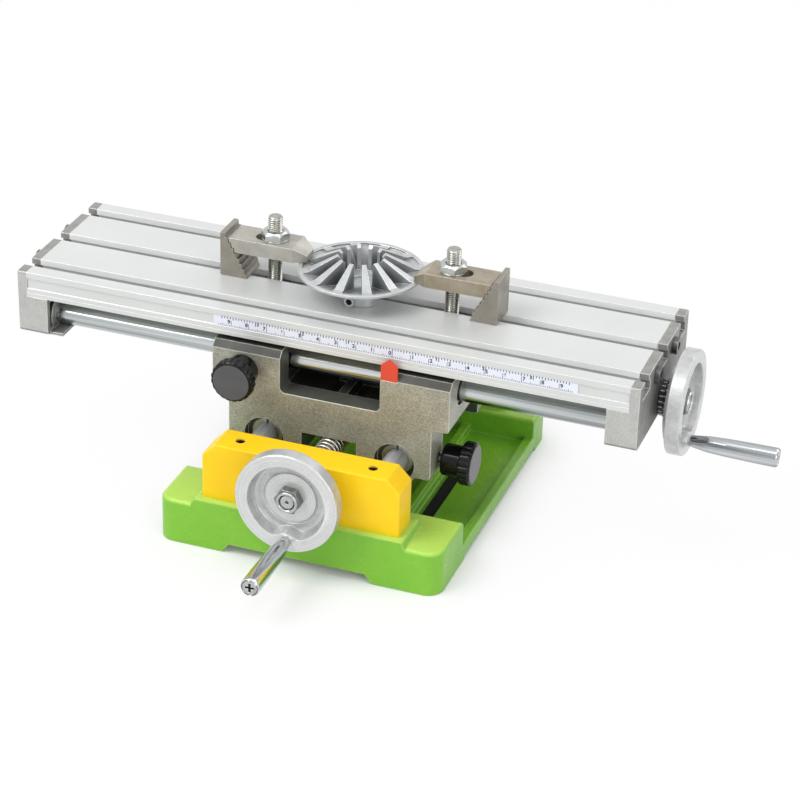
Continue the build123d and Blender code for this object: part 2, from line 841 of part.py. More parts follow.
def on_x(shape):
    # a wheel part on the end of the long screw; its boss hangs straight down
    return Pos(right_face + x_wheel_reach, table_y, x_axis_height) * Rot(0, 90, 0) * Rot(0, 0, 180) * shape


def on_y(shape):
    # a wheel part on the front end of the cross screw; its boss hangs straight down
    return Pos(0, front_block_front - y_wheel_reach, y_axis_height) * Rot(90, 0, 0) * Rot(0, 0, 90) * shape


def lock_knob():
    # axis along +Z, away from the saddle; z = 0 is the saddle's face
    start = lock_stand_off
    middle = start + lock_collar_length
    end = middle + lock_head_length
    body = rod_z(lock_collar_radius, start, middle, 0, 0) + rod_z(lock_head_radius, middle, end, 0, 0)
    body = fillet(body.edges().filter_by(GeomType.CIRCLE).group_by(Axis.Z)[-1], lock_head_edge)
    flute_place = lock_head_radius + lock_flute_radius * lock_flute_out
    flute = rod_z(lock_flute_radius, middle - past, end + past, flute_place, 0)
    for k in range(lock_flutes):
        body -= Rot(0, 0, 360 * k / lock_flutes) * flute
    return body - rod_z(lock_stud_radius, start - past, middle + lock_insert, 0, 0)


def lock_stud(depth):
    return rod_z(lock_stud_radius, -depth, lock_stand_off + lock_collar_length + lock_insert, 0, 0)


def front_lock(shape):
    return Pos(front_lock_x, saddle_front, x_axis_height) * Rot(90, 0, 0) * shape


def side_lock(shape):
    return Pos(saddle_lower_half, side_lock_y, y_axis_height) * Rot(0, 90, 0) * shape


def front_lock_depth():
    return table_y - x_rod_half_gap - rod_radius - saddle_front - lock_travel_in - lock_tip_gap


def side_lock_depth():
    return saddle_lower_half - y_rod_half_gap - rod_radius - lock_travel_in - lock_tip_gap


def step_points(extra):
    # the stepped side of a riser block, from its crown down to its foot; extra moves it outwards
    run = (step_block_width - step_block_crown) / step_count
    rise = (step_block_height - step_toe) / step_count
    points = []
    for k in range(step_count):
        x = -step_block_reach + step_block_crown + run * k + extra
        top = plate_top + step_block_height - rise * k + extra
        points += [(x, top), (x + run * step_undercut, top - rise)]
    return points


def step_block_outline(extra):
    foot = plate_top + (rest_gap if extra == 0 else -past)
    heel = -step_block_reach - extra
    run = step_block_width - step_block_reach + extra
    return [(heel, foot), (heel, plate_top + step_block_height + extra)] + step_points(extra) + [(run, foot)]


def step_block():
    return solid_xz(step_block_outline(0), table_y - step_block_depth / 2, table_y + step_block_depth / 2)


def strap():
    # the stud stands at x = 0; the heel is on the riser block's side, the nose on the disc's side
    y0 = table_y - strap_half_depth
    y1 = table_y + strap_half_depth
    inner = strap_nose - strap_nose_taper
    side_view = [(-strap_heel, strap_foot), (strap_nose, strap_foot),
                 (strap_nose, strap_top - strap_nose_drop), (inner, strap_top), (-strap_heel, strap_top)]
    body = solid_xz(side_view, y0, y1)
    for k in (-1, 1):
        y = table_y + k * strap_half_depth
        corner = make_face(Polyline((inner, y, 0), (strap_nose + past, y, 0),
                                    (strap_nose + past, y - k * strap_nose_drop, 0), close=True))
        body -= Pos(0, 0, strap_foot - past) * extrude(corner, strap_height + 2 * past, dir=(0, 0, 1))
    body -= box(-strap_slot_out, strap_slot_in, table_y - strap_slot_radius, table_y + strap_slot_radius,
                strap_foot - past, strap_top + past)
    for x in (-strap_slot_out, strap_slot_in):
        body -= rod_z(strap_slot_radius, strap_foot - past, strap_top + past, x, table_y)
    return body - solid_xz(step_block_outline(step_gap), y0 - past, y1 + past)


def t_bolt():
    head_top = plate_top - slot_lip - rest_gap
    head = box(-t_head_half, t_head_half, table_y - t_head_half, table_y + t_head_half,
               head_top - t_head_height, head_top)
    return head + rod_z(stud_radius, head_top - past, stud_top, 0, table_y)


def clamp_washer():
    ring = rod_z(washer_radius, strap_top, strap_top + washer_height, 0, table_y)
    return ring - rod_z(stud_radius + running, strap_top - past, strap_top + washer_height + past, 0, table_y)


def clamp_nut():
    foot = strap_top + washer_height + running
    outline = Rot(0, 0, clamp_nut_turn) * RegularPolygon(clamp_nut_flats / 2, 6, major_radius=False)
    hexagon = Pos(0, table_y, foot) * extrude(outline, clamp_nut_height)
    return hexagon - rod_z(stud_radius + running, foot - past, foot + clamp_nut_height + past, 0, table_y)


def clamp_place(shape, side):
    # the left clamp is as drawn; the right one is its mirror image
    if side > 0:
        return Pos(table_x + right_stud_x, 0, 0) * mirror(shape, Plane.YZ)
    return Pos(table_x + left_stud_x, 0, 0) * shape


def disc_section():
    # half section of the dished disc: radius and height
    under = disc_floor_outer - disc_plate / 2
    foot = plate_top + rest_gap
    return [(disc_bore, foot), (disc_hub, foot), (disc_hub, disc_floor_inner - disc_plate),
            (disc_rim_inner, under), (disc_radius, disc_top - disc_rim_height), (disc_radius, disc_top),
            (disc_rim_inner, disc_top), (disc_rim_inner, disc_floor_outer), (disc_hub, disc_floor_inner),
            (disc_bore, disc_floor_inner)]


def disc_fin():
    # a wedge that stands on the dish: highest at its rounded inner end, down to the rim's level outside
    crest = disc_top + disc_fin_rise
    in_rim = (disc_rim_inner + disc_radius) / 2
    level = disc_top - disc_fin_sunk
    sunk = disc_plate / 4
    outline = [(disc_fin_root, disc_floor_inner - sunk), (disc_rim_inner, disc_floor_outer - sunk),
               (in_rim, disc_top - disc_rim_height / 2), (in_rim, level), (disc_fin_end, level),
               (disc_fin_root + disc_fin_round, crest), (disc_fin_root, crest - disc_fin_round)]
    face = make_face(Polyline(*[(r, 0, z) for r, z in outline], close=True))
    return Rot(0, 0, -disc_fin_angle / 2) * revolve(face, Axis.Z, disc_fin_angle)


def on_disc(shape):
    return Pos(table_x + disc_x, table_y, 0) * shape


def finned_disc():
    body = revolve(make_face(Polyline(*[(r, 0, z) for r, z in disc_section()], close=True)), Axis.Z)
    fin = disc_fin()
    for k in range(disc_fins):
        body += Rot(0, 0, disc_fin_first + 360 * k / disc_fins) * fin
    z = plate_top + rest_gap + set_screw_boss
    boss = rod_x(set_screw_boss, (disc_bore + disc_hub) / 2, set_screw_reach, 0, z)
    hole = rod_x(set_screw_radius, disc_bore - past, set_screw_reach + past, 0, z)
    body += Rot(0, 0, set_screw_angle) * boss
    return on_disc(body - Rot(0, 0, set_screw_angle) * hole)


def disc_set_screw():
    z = plate_top + rest_gap + set_screw_boss
    screw = rod_x(set_screw_radius, disc_bore + set_screw_sunk, set_screw_reach - set_screw_sunk, 0, z)
    return on_disc(Rot(0, 0, set_screw_angle) * screw)


def nodes():
    sides = ((-1, "left"), (1, "right"))
    parts = {
        "base_casting": base_casting(), "front_block": front_block(), "rear_block": rear_block(),
        "y_guide_rods": y_guide_rods(), "block_grub_screws": block_grub_screws(),
        "block_bolts": block_bolts(), "y_spring": y_spring(),
        "saddle_casting": saddle_casting(), "rod_bushes": rod_bushes(), "x_nut": x_nut(),
        "y_nut": y_nut(), "pointer": pointer(), "table_plate": table_plate(), "scale_strip": scale_strip(),
        "left_bracket": bracket(-1), "right_bracket": bracket(1), "x_guide_rods": x_guide_rods(),
        "bracket_screws": bracket_screws(), "finned_disc": finned_disc(),
        "disc_set_screw": disc_set_screw(),
        "x_lead_screw": x_lead_screw(), "y_lead_screw": y_lead_screw(),
        "front_lock_stud": front_lock(lock_stud(front_lock_depth())),
        "front_lock_knob": front_lock(lock_knob()),
        "side_lock_stud": side_lock(lock_stud(side_lock_depth())),
        "side_lock_knob": side_lock(lock_knob()),
    }
    for letter, place, reach in (("x", on_x, x_wheel_reach), ("y", on_y, y_wheel_reach)):
        parts[f"{letter}_handwheel"] = place(wheel())
        parts[f"{letter}_hub_nut"] = place(hub_nut())
        parts[f"{letter}_dial"] = place(collar(reach))
        parts[f"{letter}_handle_pin"] = place(handle_pin())
        parts[f"{letter}_grip"] = place(grip())
    for side, word in sides:
        parts[f"{word}_step_block"] = clamp_place(step_block(), side)
        parts[f"{word}_strap"] = clamp_place(strap(), side)
        parts[f"{word}_t_bolt"] = clamp_place(t_bolt(), side)
        parts[f"{word}_washer"] = clamp_place(clamp_washer(), side)
        parts[f"{word}_nut"] = clamp_place(clamp_nut(), side)
    return parts


def main():
    os.makedirs("parts", exist_ok=True)
    for name, shape in nodes().items():
        save(name, shape)


main()
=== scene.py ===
"""Looks of a cross slide table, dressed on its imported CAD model.

Lengths are in metres, in the model's own frame: X runs along the slotted table towards its handwheel,
Y runs away from the operator and Z points up. The floor is at Z = 0.
"""

import logging
import math
from collections.abc import Callable
from dataclasses import dataclass, field, replace
from enum import Enum
from functools import reduce

import bmesh
import bpy
import numpy as np
from mathutils import Matrix, Vector


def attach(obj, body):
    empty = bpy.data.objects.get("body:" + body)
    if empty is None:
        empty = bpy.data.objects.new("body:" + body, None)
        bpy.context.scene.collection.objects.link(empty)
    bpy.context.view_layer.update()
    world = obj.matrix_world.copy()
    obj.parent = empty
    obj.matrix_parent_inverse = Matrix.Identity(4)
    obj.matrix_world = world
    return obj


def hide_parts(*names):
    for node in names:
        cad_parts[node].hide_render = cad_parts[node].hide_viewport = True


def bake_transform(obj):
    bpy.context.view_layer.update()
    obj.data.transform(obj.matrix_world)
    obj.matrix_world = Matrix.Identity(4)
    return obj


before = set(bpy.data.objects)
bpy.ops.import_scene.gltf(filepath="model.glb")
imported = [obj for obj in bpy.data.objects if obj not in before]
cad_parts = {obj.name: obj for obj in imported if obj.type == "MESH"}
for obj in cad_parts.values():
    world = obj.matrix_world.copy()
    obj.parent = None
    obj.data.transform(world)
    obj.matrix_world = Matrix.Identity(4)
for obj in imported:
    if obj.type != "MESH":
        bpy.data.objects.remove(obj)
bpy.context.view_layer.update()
MM = 0.001
TINY = 1e-9
log = logging.getLogger("cross_slide_table")

Colour = tuple[float, float, float]
Screen = tuple[int, int, int]
Point = tuple[float, float, float]
Outline = list[tuple[float, float]]
Planes = tuple[tuple[int, float], ...]
Socket = bpy.types.NodeSocket
Piece = bpy.types.Object

EVEN: Point = (1.0, 1.0, 1.0)
WHITE = (1.0, 1.0, 1.0, 1.0)
PLANE_REACH = 0.05 * MM      # how near to a plane a face counts as lying in it
# the next two lines shape the mask of painted top shading
LEVEL = (0.25, 0.9)          # a normal's upward part, from too steep to level
TOP_FADE = 0.01              # how far below its height a top's colour starts
# the next line shapes the mask of painted shade in pockets
POCKET_SHADE = (0.8, 0.3)          # the open share of the surroundings, from free to enclosed
EDGE = (0.995, 0.86)         # how alike the flat and the rounded normal are, from a flat to an edge
SPECKS = 2400.0              # specks to the metre
SHARP_ANGLE = 38             # degrees between faces that keep their edge
CURVE_POINTS = 5             # points on each rounded corner


def tone(shown: Screen) -> Colour:
    """Turns a colour seen on a screen into the linear light that a shader takes.

    Args:
        shown: the colour's red, green and blue, from 0 to 255.

    Returns:
        The three parts, from 0 to 1, by the screen's own curve.
    """
    parts = np.array(shown) / 255.0
    linear = np.where(parts <= 0.04045, parts / 12.92, ((parts + 0.055) / 1.055) ** 2.4)
    return tuple(float(v) for v in linear)


class Grain(Enum):
    """How a surface is textured."""

    PEEL = "thick gloss paint on a casting"
    CAST = "sand or die cast skin"
    DRAWN = "fine lines along X, from the extrusion die"
    GROUND = "fine rings round a rod"
    SATIN = "even fine grain"
    SMOOTH = "polished or moulded"


class NodeSheet:
    """A node tree, with short calls for the nodes that the finishes and the studio use."""

    def __init__(self, owner: bpy.types.Material | bpy.types.World, shader: str) -> None:
        """Takes over the owner's tree.

        Args:
            owner: a new material or world.
            shader: the name of the node that shades it.
        """
        owner.use_nodes = True
        self.tree = owner.node_tree
        self.shader = self.tree.nodes[shader]

    def fill(self, node: bpy.types.Node, inputs: dict[str | int, object]) -> None:
        """Sets a node's inputs.

        Args:
            node: the node.
            inputs: for each input, by name or number, its value or the socket that feeds it.
        """
        for key, value in inputs.items():
            if isinstance(value, Socket):
                self.tree.links.new(value, node.inputs[key])
            else:
                node.inputs[key].default_value = value

    def add(self, kind: str, inputs: dict[str | int, object] | None = None, **settings: object) -> bpy.types.Node:
        """Adds a node.

        Args:
            kind: the node's type.
            inputs: what its inputs are given, as in fill.
            settings: its own options.

        Returns:
            The new node.
        """
        node = self.tree.nodes.new(kind)
        for key, value in settings.items():
            setattr(node, key, value)
        self.fill(node, inputs or {})
        return node

    def place(self, stretch: Point = EVEN) -> Socket:
        """Gives the object's own coordinates, multiplied by stretch."""
        coords = self.add("ShaderNodeTexCoord").outputs["Object"]
        return self.add("ShaderNodeMapping", {"Vector": coords, "Scale": stretch}).outputs["Vector"]

    def axes(self, kind: str = "ShaderNodeTexCoord", output: str = "Object") -> bpy.types.NodeOutputs:
        """Gives X, Y and Z of the object's own coordinates, or of another node's output."""
        return self.add("ShaderNodeSeparateXYZ", {0: self.add(kind).outputs[output]}).outputs

    def noise(self, place: Socket, scale: float, detail: float = 3.0, roughness: float = 0.55) -> Socket:
        """Gives a cloudy pattern with that many patches to the metre."""
        inputs = {"Vector": place, "Scale": scale, "Detail": detail, "Roughness": roughness}
        return self.add("ShaderNodeTexNoise", inputs).outputs["Fac"]

    def pits(self, place: Socket, scale: float) -> Socket:
        """Gives the distance to the nearest of scattered points, with that many to the metre."""
        return self.add("ShaderNodeTexVoronoi", {"Vector": place, "Scale": scale}).outputs["Distance"]

    def span(self, value: Socket, low: float, high: float, to_low: float = 0.0, to_high: float = 1.0) -> Socket:
        """Carries values from low..high to to_low..to_high, and holds them there."""
        inputs = {"Value": value, "From Min": low, "From Max": high, "To Min": to_low, "To Max": to_high}
        return self.add("ShaderNodeMapRange", inputs).outputs["Result"]

    def reckon(self, operation: str, *values: Socket | float) -> Socket:
        """Gives the result of one operation on the values."""
        return self.add("ShaderNodeMath", dict(enumerate(values)), operation=operation).outputs["Value"]

    def sum(self, one: Socket, other: Socket, share: float) -> Socket:
        """Adds a share of the other value to the first."""
        return self.reckon("MULTIPLY_ADD", other, share, one)

    def product(self, one: Socket, other: Socket) -> Socket:
        """Multiplies two values."""
        return self.reckon("MULTIPLY", one, other)

    def larger(self, one: Socket, other: Socket) -> Socket:
        """Gives the larger of two values."""
        return self.reckon("MAXIMUM", one, other)

    def near(self, value: Socket, middle: float, reach: float) -> Socket:
        """Gives 1 where the value lies within reach of the middle, and 0 elsewhere."""
        return self.reckon("COMPARE", value, middle, reach)

    def blend(self, share: Socket, one: Socket | Colour, other: Socket | Colour) -> Socket:
        """Blends two colours by the share of the second."""
        first, second = (value if isinstance(value, Socket) else (*value, 1.0) for value in (one, other))
        return self.add("ShaderNodeMix", {"Factor": share, 6: first, 7: second}, data_type="RGBA").outputs[2]

    def on_planes(self, planes: Planes) -> Socket:
        """Gives 1 on the faces that lie in one of the planes, each an axis number and a place in millimetres."""
        axes = self.axes()
        return reduce(self.larger, [self.near(axes[axis], place * MM, PLANE_REACH) for axis, place in planes])

    def rings(self, stretch: Point, centre: Point, scale: float) -> Socket:
        """Gives a pattern that depends only on the distance from an axis, as a turning tool leaves it.

        Args:
            stretch: 0 along the axis and 1 across it.
            centre: a point on the axis, in millimetres.
            scale: rings to the metre.

        Returns:
            The pattern.
        """
        middle = [c * s * MM for c, s in zip(centre, stretch)]
        away = self.add("ShaderNodeVectorMath", {0: self.place(stretch), 1: middle}, operation="DISTANCE")
        inputs = {"W": away.outputs["Value"], "Scale": scale, "Detail": 3.0}
        return self.add("ShaderNodeTexNoise", inputs, noise_dimensions="1D").outputs["Fac"]

    def top_shading_share(self, height: float) -> Socket:
        """Gives 1 on level faces above a height, and less on steeper ones and just below it: the mask of painted
        top shading.
        """
        level = self.span(self.axes("ShaderNodeNewGeometry", "Normal")["Z"], *LEVEL)
        return self.product(level, self.span(self.axes()["Z"], height - TOP_FADE, height))

    def recess_shade_share(self, reach: float) -> Socket:
        """Gives a share that rises from 0 in the open to 1 in a pocket, by the piece's own faces in reach: the
        mask of painted shade.
        """
        around = self.add("ShaderNodeAmbientOcclusion", {"Distance": reach}, samples=6, only_local=True)
        return self.span(around.outputs["AO"], *POCKET_SHADE)

    def soft_normal(self, radius: float) -> tuple[Socket, Socket]:
        """Rounds edges in the shading.

        Args:
            radius: how far from an edge the shading turns.

        Returns:
            The rounded normal, and a value that rises from 0 on the flat to 1 at an edge.
        """
        soft = self.add("ShaderNodeBevel", {"Radius": radius}, samples=4).outputs["Normal"]
        flat = self.add("ShaderNodeNewGeometry").outputs["Normal"]
        alike = self.add("ShaderNodeVectorMath", {0: soft, 1: flat}, operation="DOT_PRODUCT")
        return soft, self.span(alike.outputs["Value"], *EDGE)

    def in_sight(self) -> Socket:
        """Gives 1 where the camera looks, directly or by way of a glossy surface."""
        path = self.add("ShaderNodeLightPath").outputs
        return self.larger(path["Is Camera Ray"], path["Is Glossy Ray"])


@dataclass(frozen=True)
class CutAndPaintedLightPlanes:
    """Faces that lie in given planes, with their own colour: where a casting was cut flat and what the cut looks
    like, and on some finishes faces painted lighter as painted light. Places in millimetres.
    """

    planes: Planes
    colour: Screen
    shade: Screen
    lines: float
    stretch: Point = EVEN
    centre: Point | None = None
    rough: float = 0.36

    def pattern(self, sheet: NodeSheet) -> Socket:
        """Gives the cutter's marks.

        Args:
            sheet: the material's nodes.

        Returns:
            Rings about the centre if there is one, and straight lines otherwise.
        """
        if self.centre:
            return sheet.rings(self.stretch, self.centre, self.lines)
        return sheet.noise(sheet.place(self.stretch), self.lines)


@dataclass(frozen=True)
class Finish:
    """A surface finish: two mottled colours, a gloss, a grain and how its edges look, with a painted highlight on
    the edges that also stands for wear on bare metal.

    Colours are as a screen shows them, and patterns are counted to the metre. Streak stretches the mottle, whose
    streaks on the rods and grips paint bands of reflection, and along stretches the grain. The top colour and its
    height give painted top shading, lighter or darker, on faces that look up. The recess colour and its reach give
    painted shade on faces that enclose a pocket.
    """

    name: str
    colour: Screen
    shade: Screen
    metal: float = 0.0
    rough: float = 0.4
    rough_spread: float = 0.08
    mottle: float = 60.0
    streak: Point = EVEN
    grain: Grain = Grain.SATIN
    grain_size: float = 900.0
    grain_depth: float = 0.00002
    along: Point = EVEN
    edge_radius: float = 0.0004
    # painted highlight along the edges, which also stands for wear on bare metal
    edge_highlight_and_wear_colour: Screen | None = None
    edge_highlight_and_wear_share: float = 0.5
    shine: float = 0.5
    speckle: float = 0.0
    # painted top shading: a colour for faces that look up from a height
    painted_top_shading: tuple[Screen, float] | None = None
    # painted shade in pockets: a colour and the reach of a pocket
    painted_recess_shade: tuple[Screen, float] | None = None
    # faces in planes: machined faces, and on some finishes painted light
    cut: CutAndPaintedLightPlanes | None = None

    def height(self, sheet: NodeSheet) -> Socket:
        """Gives the height of the grain.

        Args:
            sheet: the material's nodes.

        Returns:
            Fine clouds or lines, with scattered pits added on a casting and broad waves in paint.
        """
        place = sheet.place(self.along)
        octaves = {Grain.DRAWN: 4.0, Grain.GROUND: 2.0}.get(self.grain, 3.0)
        fine = sheet.noise(place, self.grain_size, octaves)
        if self.grain is Grain.CAST:
            return sheet.sum(fine, sheet.span(sheet.pits(place, self.grain_size * 0.6), 0.0, 0.45), 0.5)
        if self.grain is Grain.PEEL:
            return sheet.sum(fine, sheet.noise(place, self.grain_size * 0.28, 2.0), 1.6)
        return fine

    def patches(self, sheet: NodeSheet) -> Socket:
        """Gives the mottle, with specks added where the finish has them.

        Args:
            sheet: the material's nodes.

        Returns:
            The pattern, mostly from 0.3 to 0.7.
        """
        patches = sheet.noise(sheet.place(self.streak), self.mottle, 5.0, 0.62)
        if not self.speckle:
            return patches
        specks = sheet.noise(sheet.place(), SPECKS, 4.0, 0.7)
        return sheet.sum(patches, sheet.span(specks, 0.3, 0.7, -1.0, 1.0), self.speckle)

    def layers(self, sheet: NodeSheet, patches: Socket) -> tuple[Socket, Socket]:
        """Lays the cut faces and the faces with painted light, the painted top shading and the painted shade in
        pockets over the two mottled colours, in that order.

        Args:
            sheet: the material's nodes.
            patches: the mottle.

        Returns:
            The colour and the roughness.
        """
        colour = sheet.blend(sheet.span(patches, 0.3, 0.7), tone(self.colour), tone(self.shade))
        rough = sheet.span(patches, 0.25, 0.75, self.rough - self.rough_spread, self.rough + self.rough_spread)
        # faces in planes: machined faces, and on some finishes painted light
        if self.cut:
            here = sheet.on_planes(self.cut.planes)
            marks = sheet.span(sheet.sum(self.cut.pattern(sheet), patches, 0.4), 0.5, 0.9)
            colour = sheet.blend(here, colour, sheet.blend(marks, tone(self.cut.colour), tone(self.cut.shade)))
            rough = sheet.sum(rough, here, self.cut.rough - self.rough)
        # painted top shading: upward faces made lighter or darker
        if self.painted_top_shading:
            colour = sheet.blend(sheet.top_shading_share(self.painted_top_shading[1]), colour, tone(self.painted_top_shading[0]))
        # painted shade in pockets
        if self.painted_recess_shade:
            colour = sheet.blend(sheet.recess_shade_share(self.painted_recess_shade[1]), colour, tone(self.painted_recess_shade[0]))
        return colour, rough

    def material(self) -> bpy.types.Material:
        """Builds the material the first time, and gives the same one after that.

        Returns:
            The material.
        """
        found = bpy.data.materials.get(self.name)
        if found:
            return found
        material = bpy.data.materials.new(self.name)
        sheet = NodeSheet(material, "Principled BSDF")
        colour, rough = self.layers(sheet, self.patches(sheet))
        relief = {"Height": self.height(sheet), "Distance": self.grain_depth}
        if self.edge_radius:
            relief["Normal"], edge = sheet.soft_normal(self.edge_radius)
            # painted highlight along the edges, which also stands for wear on bare metal
            if self.edge_highlight_and_wear_colour:
                edge_highlight_and_wear = sheet.span(edge, 0.0, 1.0, 0.0, self.edge_highlight_and_wear_share)
                colour = sheet.blend(edge_highlight_and_wear, colour, tone(self.edge_highlight_and_wear_colour))
        normal = sheet.add("ShaderNodeBump", relief).outputs["Normal"]
        sheet.fill(sheet.shader, {"Base Color": colour, "Roughness": rough, "Normal": normal,
                                  "Metallic": self.metal, "Specular IOR Level": self.shine})
        return material

    def dress(self, piece: Piece) -> None:
        """Puts this finish on a piece's every slot, and reports it.

        Args:
            piece: the piece, which gets a slot if it has none.
        """
        if not piece.material_slots:
            piece.data.materials.append(self.material())
        for slot in piece.material_slots:
            slot.material = self.material()
        log.info("%s: %s", piece.name, self.name)


# Upward faces of the pads are painted paler: painted light from above. The edges get a painted highlight.
GREEN_PAINT = Finish("green_casting_paint", (132, 194, 58), (116, 181, 48), rough=0.28, mottle=22,
                     grain=Grain.PEEL, grain_size=620, grain_depth=0.00022, edge_radius=0.0014,
                     edge_highlight_and_wear_colour=(196, 236, 130), edge_highlight_and_wear_share=0.75, shine=0.35, painted_top_shading=((180, 220, 96), 0.025))
YELLOW_PAINT = Finish("yellow_block_paint", (254, 210, 30), (250, 203, 26), rough=0.36, mottle=50,
                      grain=Grain.PEEL, grain_size=700, grain_depth=0.00008, edge_radius=0.0008,
                      edge_highlight_and_wear_colour=(255, 240, 120), edge_highlight_and_wear_share=0.6, shine=0.2)
# Faces that look up from the top are painted dark: painted shade under the table plate. The cut planes are the
# machined faces.
SADDLE_IRON = Finish("saddle_casting_grey", (96, 98, 91), (76, 78, 72), metal=0.3, rough=0.48,
                     grain=Grain.CAST, grain_size=1500, grain_depth=0.00008, edge_radius=0.0008,
                     edge_highlight_and_wear_colour=(238, 238, 232), edge_highlight_and_wear_share=1.0, shine=0.3, speckle=0.15,
                     painted_top_shading=((58, 58, 54), 0.095),
                     cut=CutAndPaintedLightPlanes(((1, -48.3), (1, 50.0), (0, 66.3), (0, -66.3), (0, 57.0), (0, -57.0)),
                                  (184, 183, 170), (136, 134, 120), 1500.0))
# Pockets are painted dark: painted shade under the plate.
BRACKET_CAST = Finish("bracket_casting_grey", (158, 158, 155), (136, 136, 133), metal=0.35, rough=0.46,
                      mottle=150, grain=Grain.CAST, grain_size=1300, grain_depth=0.00009, edge_radius=0.0008,
                      edge_highlight_and_wear_colour=(244, 243, 240), edge_highlight_and_wear_share=0.9, shine=0.3, speckle=0.15,
                      painted_recess_shade=((44, 44, 39), 0.011),
                      cut=CutAndPaintedLightPlanes(((1, -44.0), (1, 52.0)), (198, 198, 195), (164, 164, 160), 1500.0))
# The far walls of the three slots are painted near white: painted light where the near lip shades them.
PLATE_ALUMINIUM = Finish("plate_satin_aluminium", (212, 214, 213), (205, 207, 206), metal=0.25, rough=0.36,
                         rough_spread=0.04, mottle=14, grain=Grain.DRAWN, grain_size=2200, grain_depth=0.00001,
                         along=(0.004, 1.0, 1.0), edge_radius=0.0005, edge_highlight_and_wear_colour=(255, 255, 255), edge_highlight_and_wear_share=1.0,
                         cut=CutAndPaintedLightPlanes(((1, -26.8), (1, 8.4), (1, 43.6)), (253, 253, 252), (247, 248, 247), 300.0,
                                      (0.01, 1.0, 1.0)))
WHEEL_CAST = Finish("wheel_cast_aluminium", (206, 207, 206), (174, 176, 177), metal=0.5, rough=0.34, mottle=190,
                    grain=Grain.CAST, grain_size=1500, grain_depth=0.00006, edge_radius=0.00045,
                    edge_highlight_and_wear_colour=(246, 247, 247), edge_highlight_and_wear_share=0.9, speckle=0.3)
WHEEL_CAST_X = replace(WHEEL_CAST, name="wheel_cast_aluminium_x",
                       cut=CutAndPaintedLightPlanes(((0, 181.5), (0, 174.7), (0, 173.5)), (222, 223, 222), (196, 197, 196),
                                    2200.0, (0.0, 1.0, 1.0), (181.5, 4.0, 87.0), 0.33))
WHEEL_CAST_Y = replace(WHEEL_CAST, name="wheel_cast_aluminium_y",
                       cut=CutAndPaintedLightPlanes(((1, -109.0), (1, -102.2), (1, -101.0)), (222, 223, 222), (196, 197, 196),
                                    2200.0, (1.0, 0.0, 1.0), (0.0, -109.0, 46.8), 0.33))
# Pockets between the fins are painted darker: painted shade.
DISC_CAST = Finish("disc_cast_aluminium", (200, 202, 202), (176, 179, 181), metal=0.5, rough=0.36, mottle=140,
                   grain=Grain.CAST, grain_size=1600, grain_depth=0.00003, edge_radius=0.0005,
                   edge_highlight_and_wear_colour=(250, 251, 251), edge_highlight_and_wear_share=1.0, speckle=0.2, painted_recess_shade=((104, 108, 110), 0.009))
# Lengthwise light and dark streaks, partly grinding marks and partly painted reflection bands.
GROUND_STEEL_X_STREAKS_AND_REFLECTIONS = Finish("ground_rod_steel_x_streaks_and_reflections", (226, 230, 231), (104, 111, 112), metal=1.0, rough=0.2,
                        rough_spread=0.03, mottle=210, streak=(0.01, 1.0, 1.0), grain=Grain.GROUND,
                        grain_size=2600, grain_depth=0.000002, along=(1.0, 0.02, 0.02))
# A lighter copy for the cross rods: painted light.
GROUND_STEEL_Y_PAINTED_LIGHT = replace(GROUND_STEEL_X_STREAKS_AND_REFLECTIONS, name="ground_rod_steel_y_painted_light", colour=(246, 248, 248),
                         shade=(168, 172, 173), metal=0.6, rough=0.3, streak=(1.0, 0.01, 1.0),
                         along=(0.02, 1.0, 0.02))
# Streaked light and dark colours paint chrome's reflection bands; this copy for the long grip is darker, painted
# shade.
GRIP_CHROME_X_PAINTED_REFLECTIONS = Finish("grip_chrome_x_painted_reflections", (214, 218, 220), (76, 80, 84), metal=1.0, rough=0.12, rough_spread=0.03,
                       mottle=230, streak=(0.02, 1.0, 1.0), grain_size=1200, grain_depth=0.000002)
# A lighter copy for the cross grip, with the same painted reflection bands: painted light.
GRIP_CHROME_Y_PAINTED_REFLECTIONS = replace(GRIP_CHROME_X_PAINTED_REFLECTIONS, name="grip_chrome_y_painted_reflections", colour=(248, 250, 251), shade=(164, 168, 172),
                        streak=(1.0, 0.02, 1.0))
ZINC = Finish("zinc_plated_steel", (196, 199, 197), (170, 175, 173), metal=0.95, rough=0.24, mottle=260,
              grain_size=1800, grain_depth=0.000006, edge_radius=0.0003, edge_highlight_and_wear_colour=(246, 247, 246),
              edge_highlight_and_wear_share=0.8)
NUT_DULL = replace(ZINC, name="nut_dull_steel", colour=(138, 140, 136), shade=(106, 108, 105), rough=0.3,
                   edge_radius=0.0004, edge_highlight_and_wear_share=1.0)
SCREW_DULL = replace(ZINC, name="screw_dull_steel", colour=(116, 117, 116), shade=(88, 89, 88), rough=0.34,
                     edge_highlight_and_wear_colour=(190, 191, 190))
THREAD_STEEL = Finish("thread_steel", (186, 186, 180), (152, 152, 146), metal=0.95, rough=0.26,
                      rough_spread=0.06, mottle=320, grain_size=1800, grain_depth=0.000004, edge_radius=0.0)
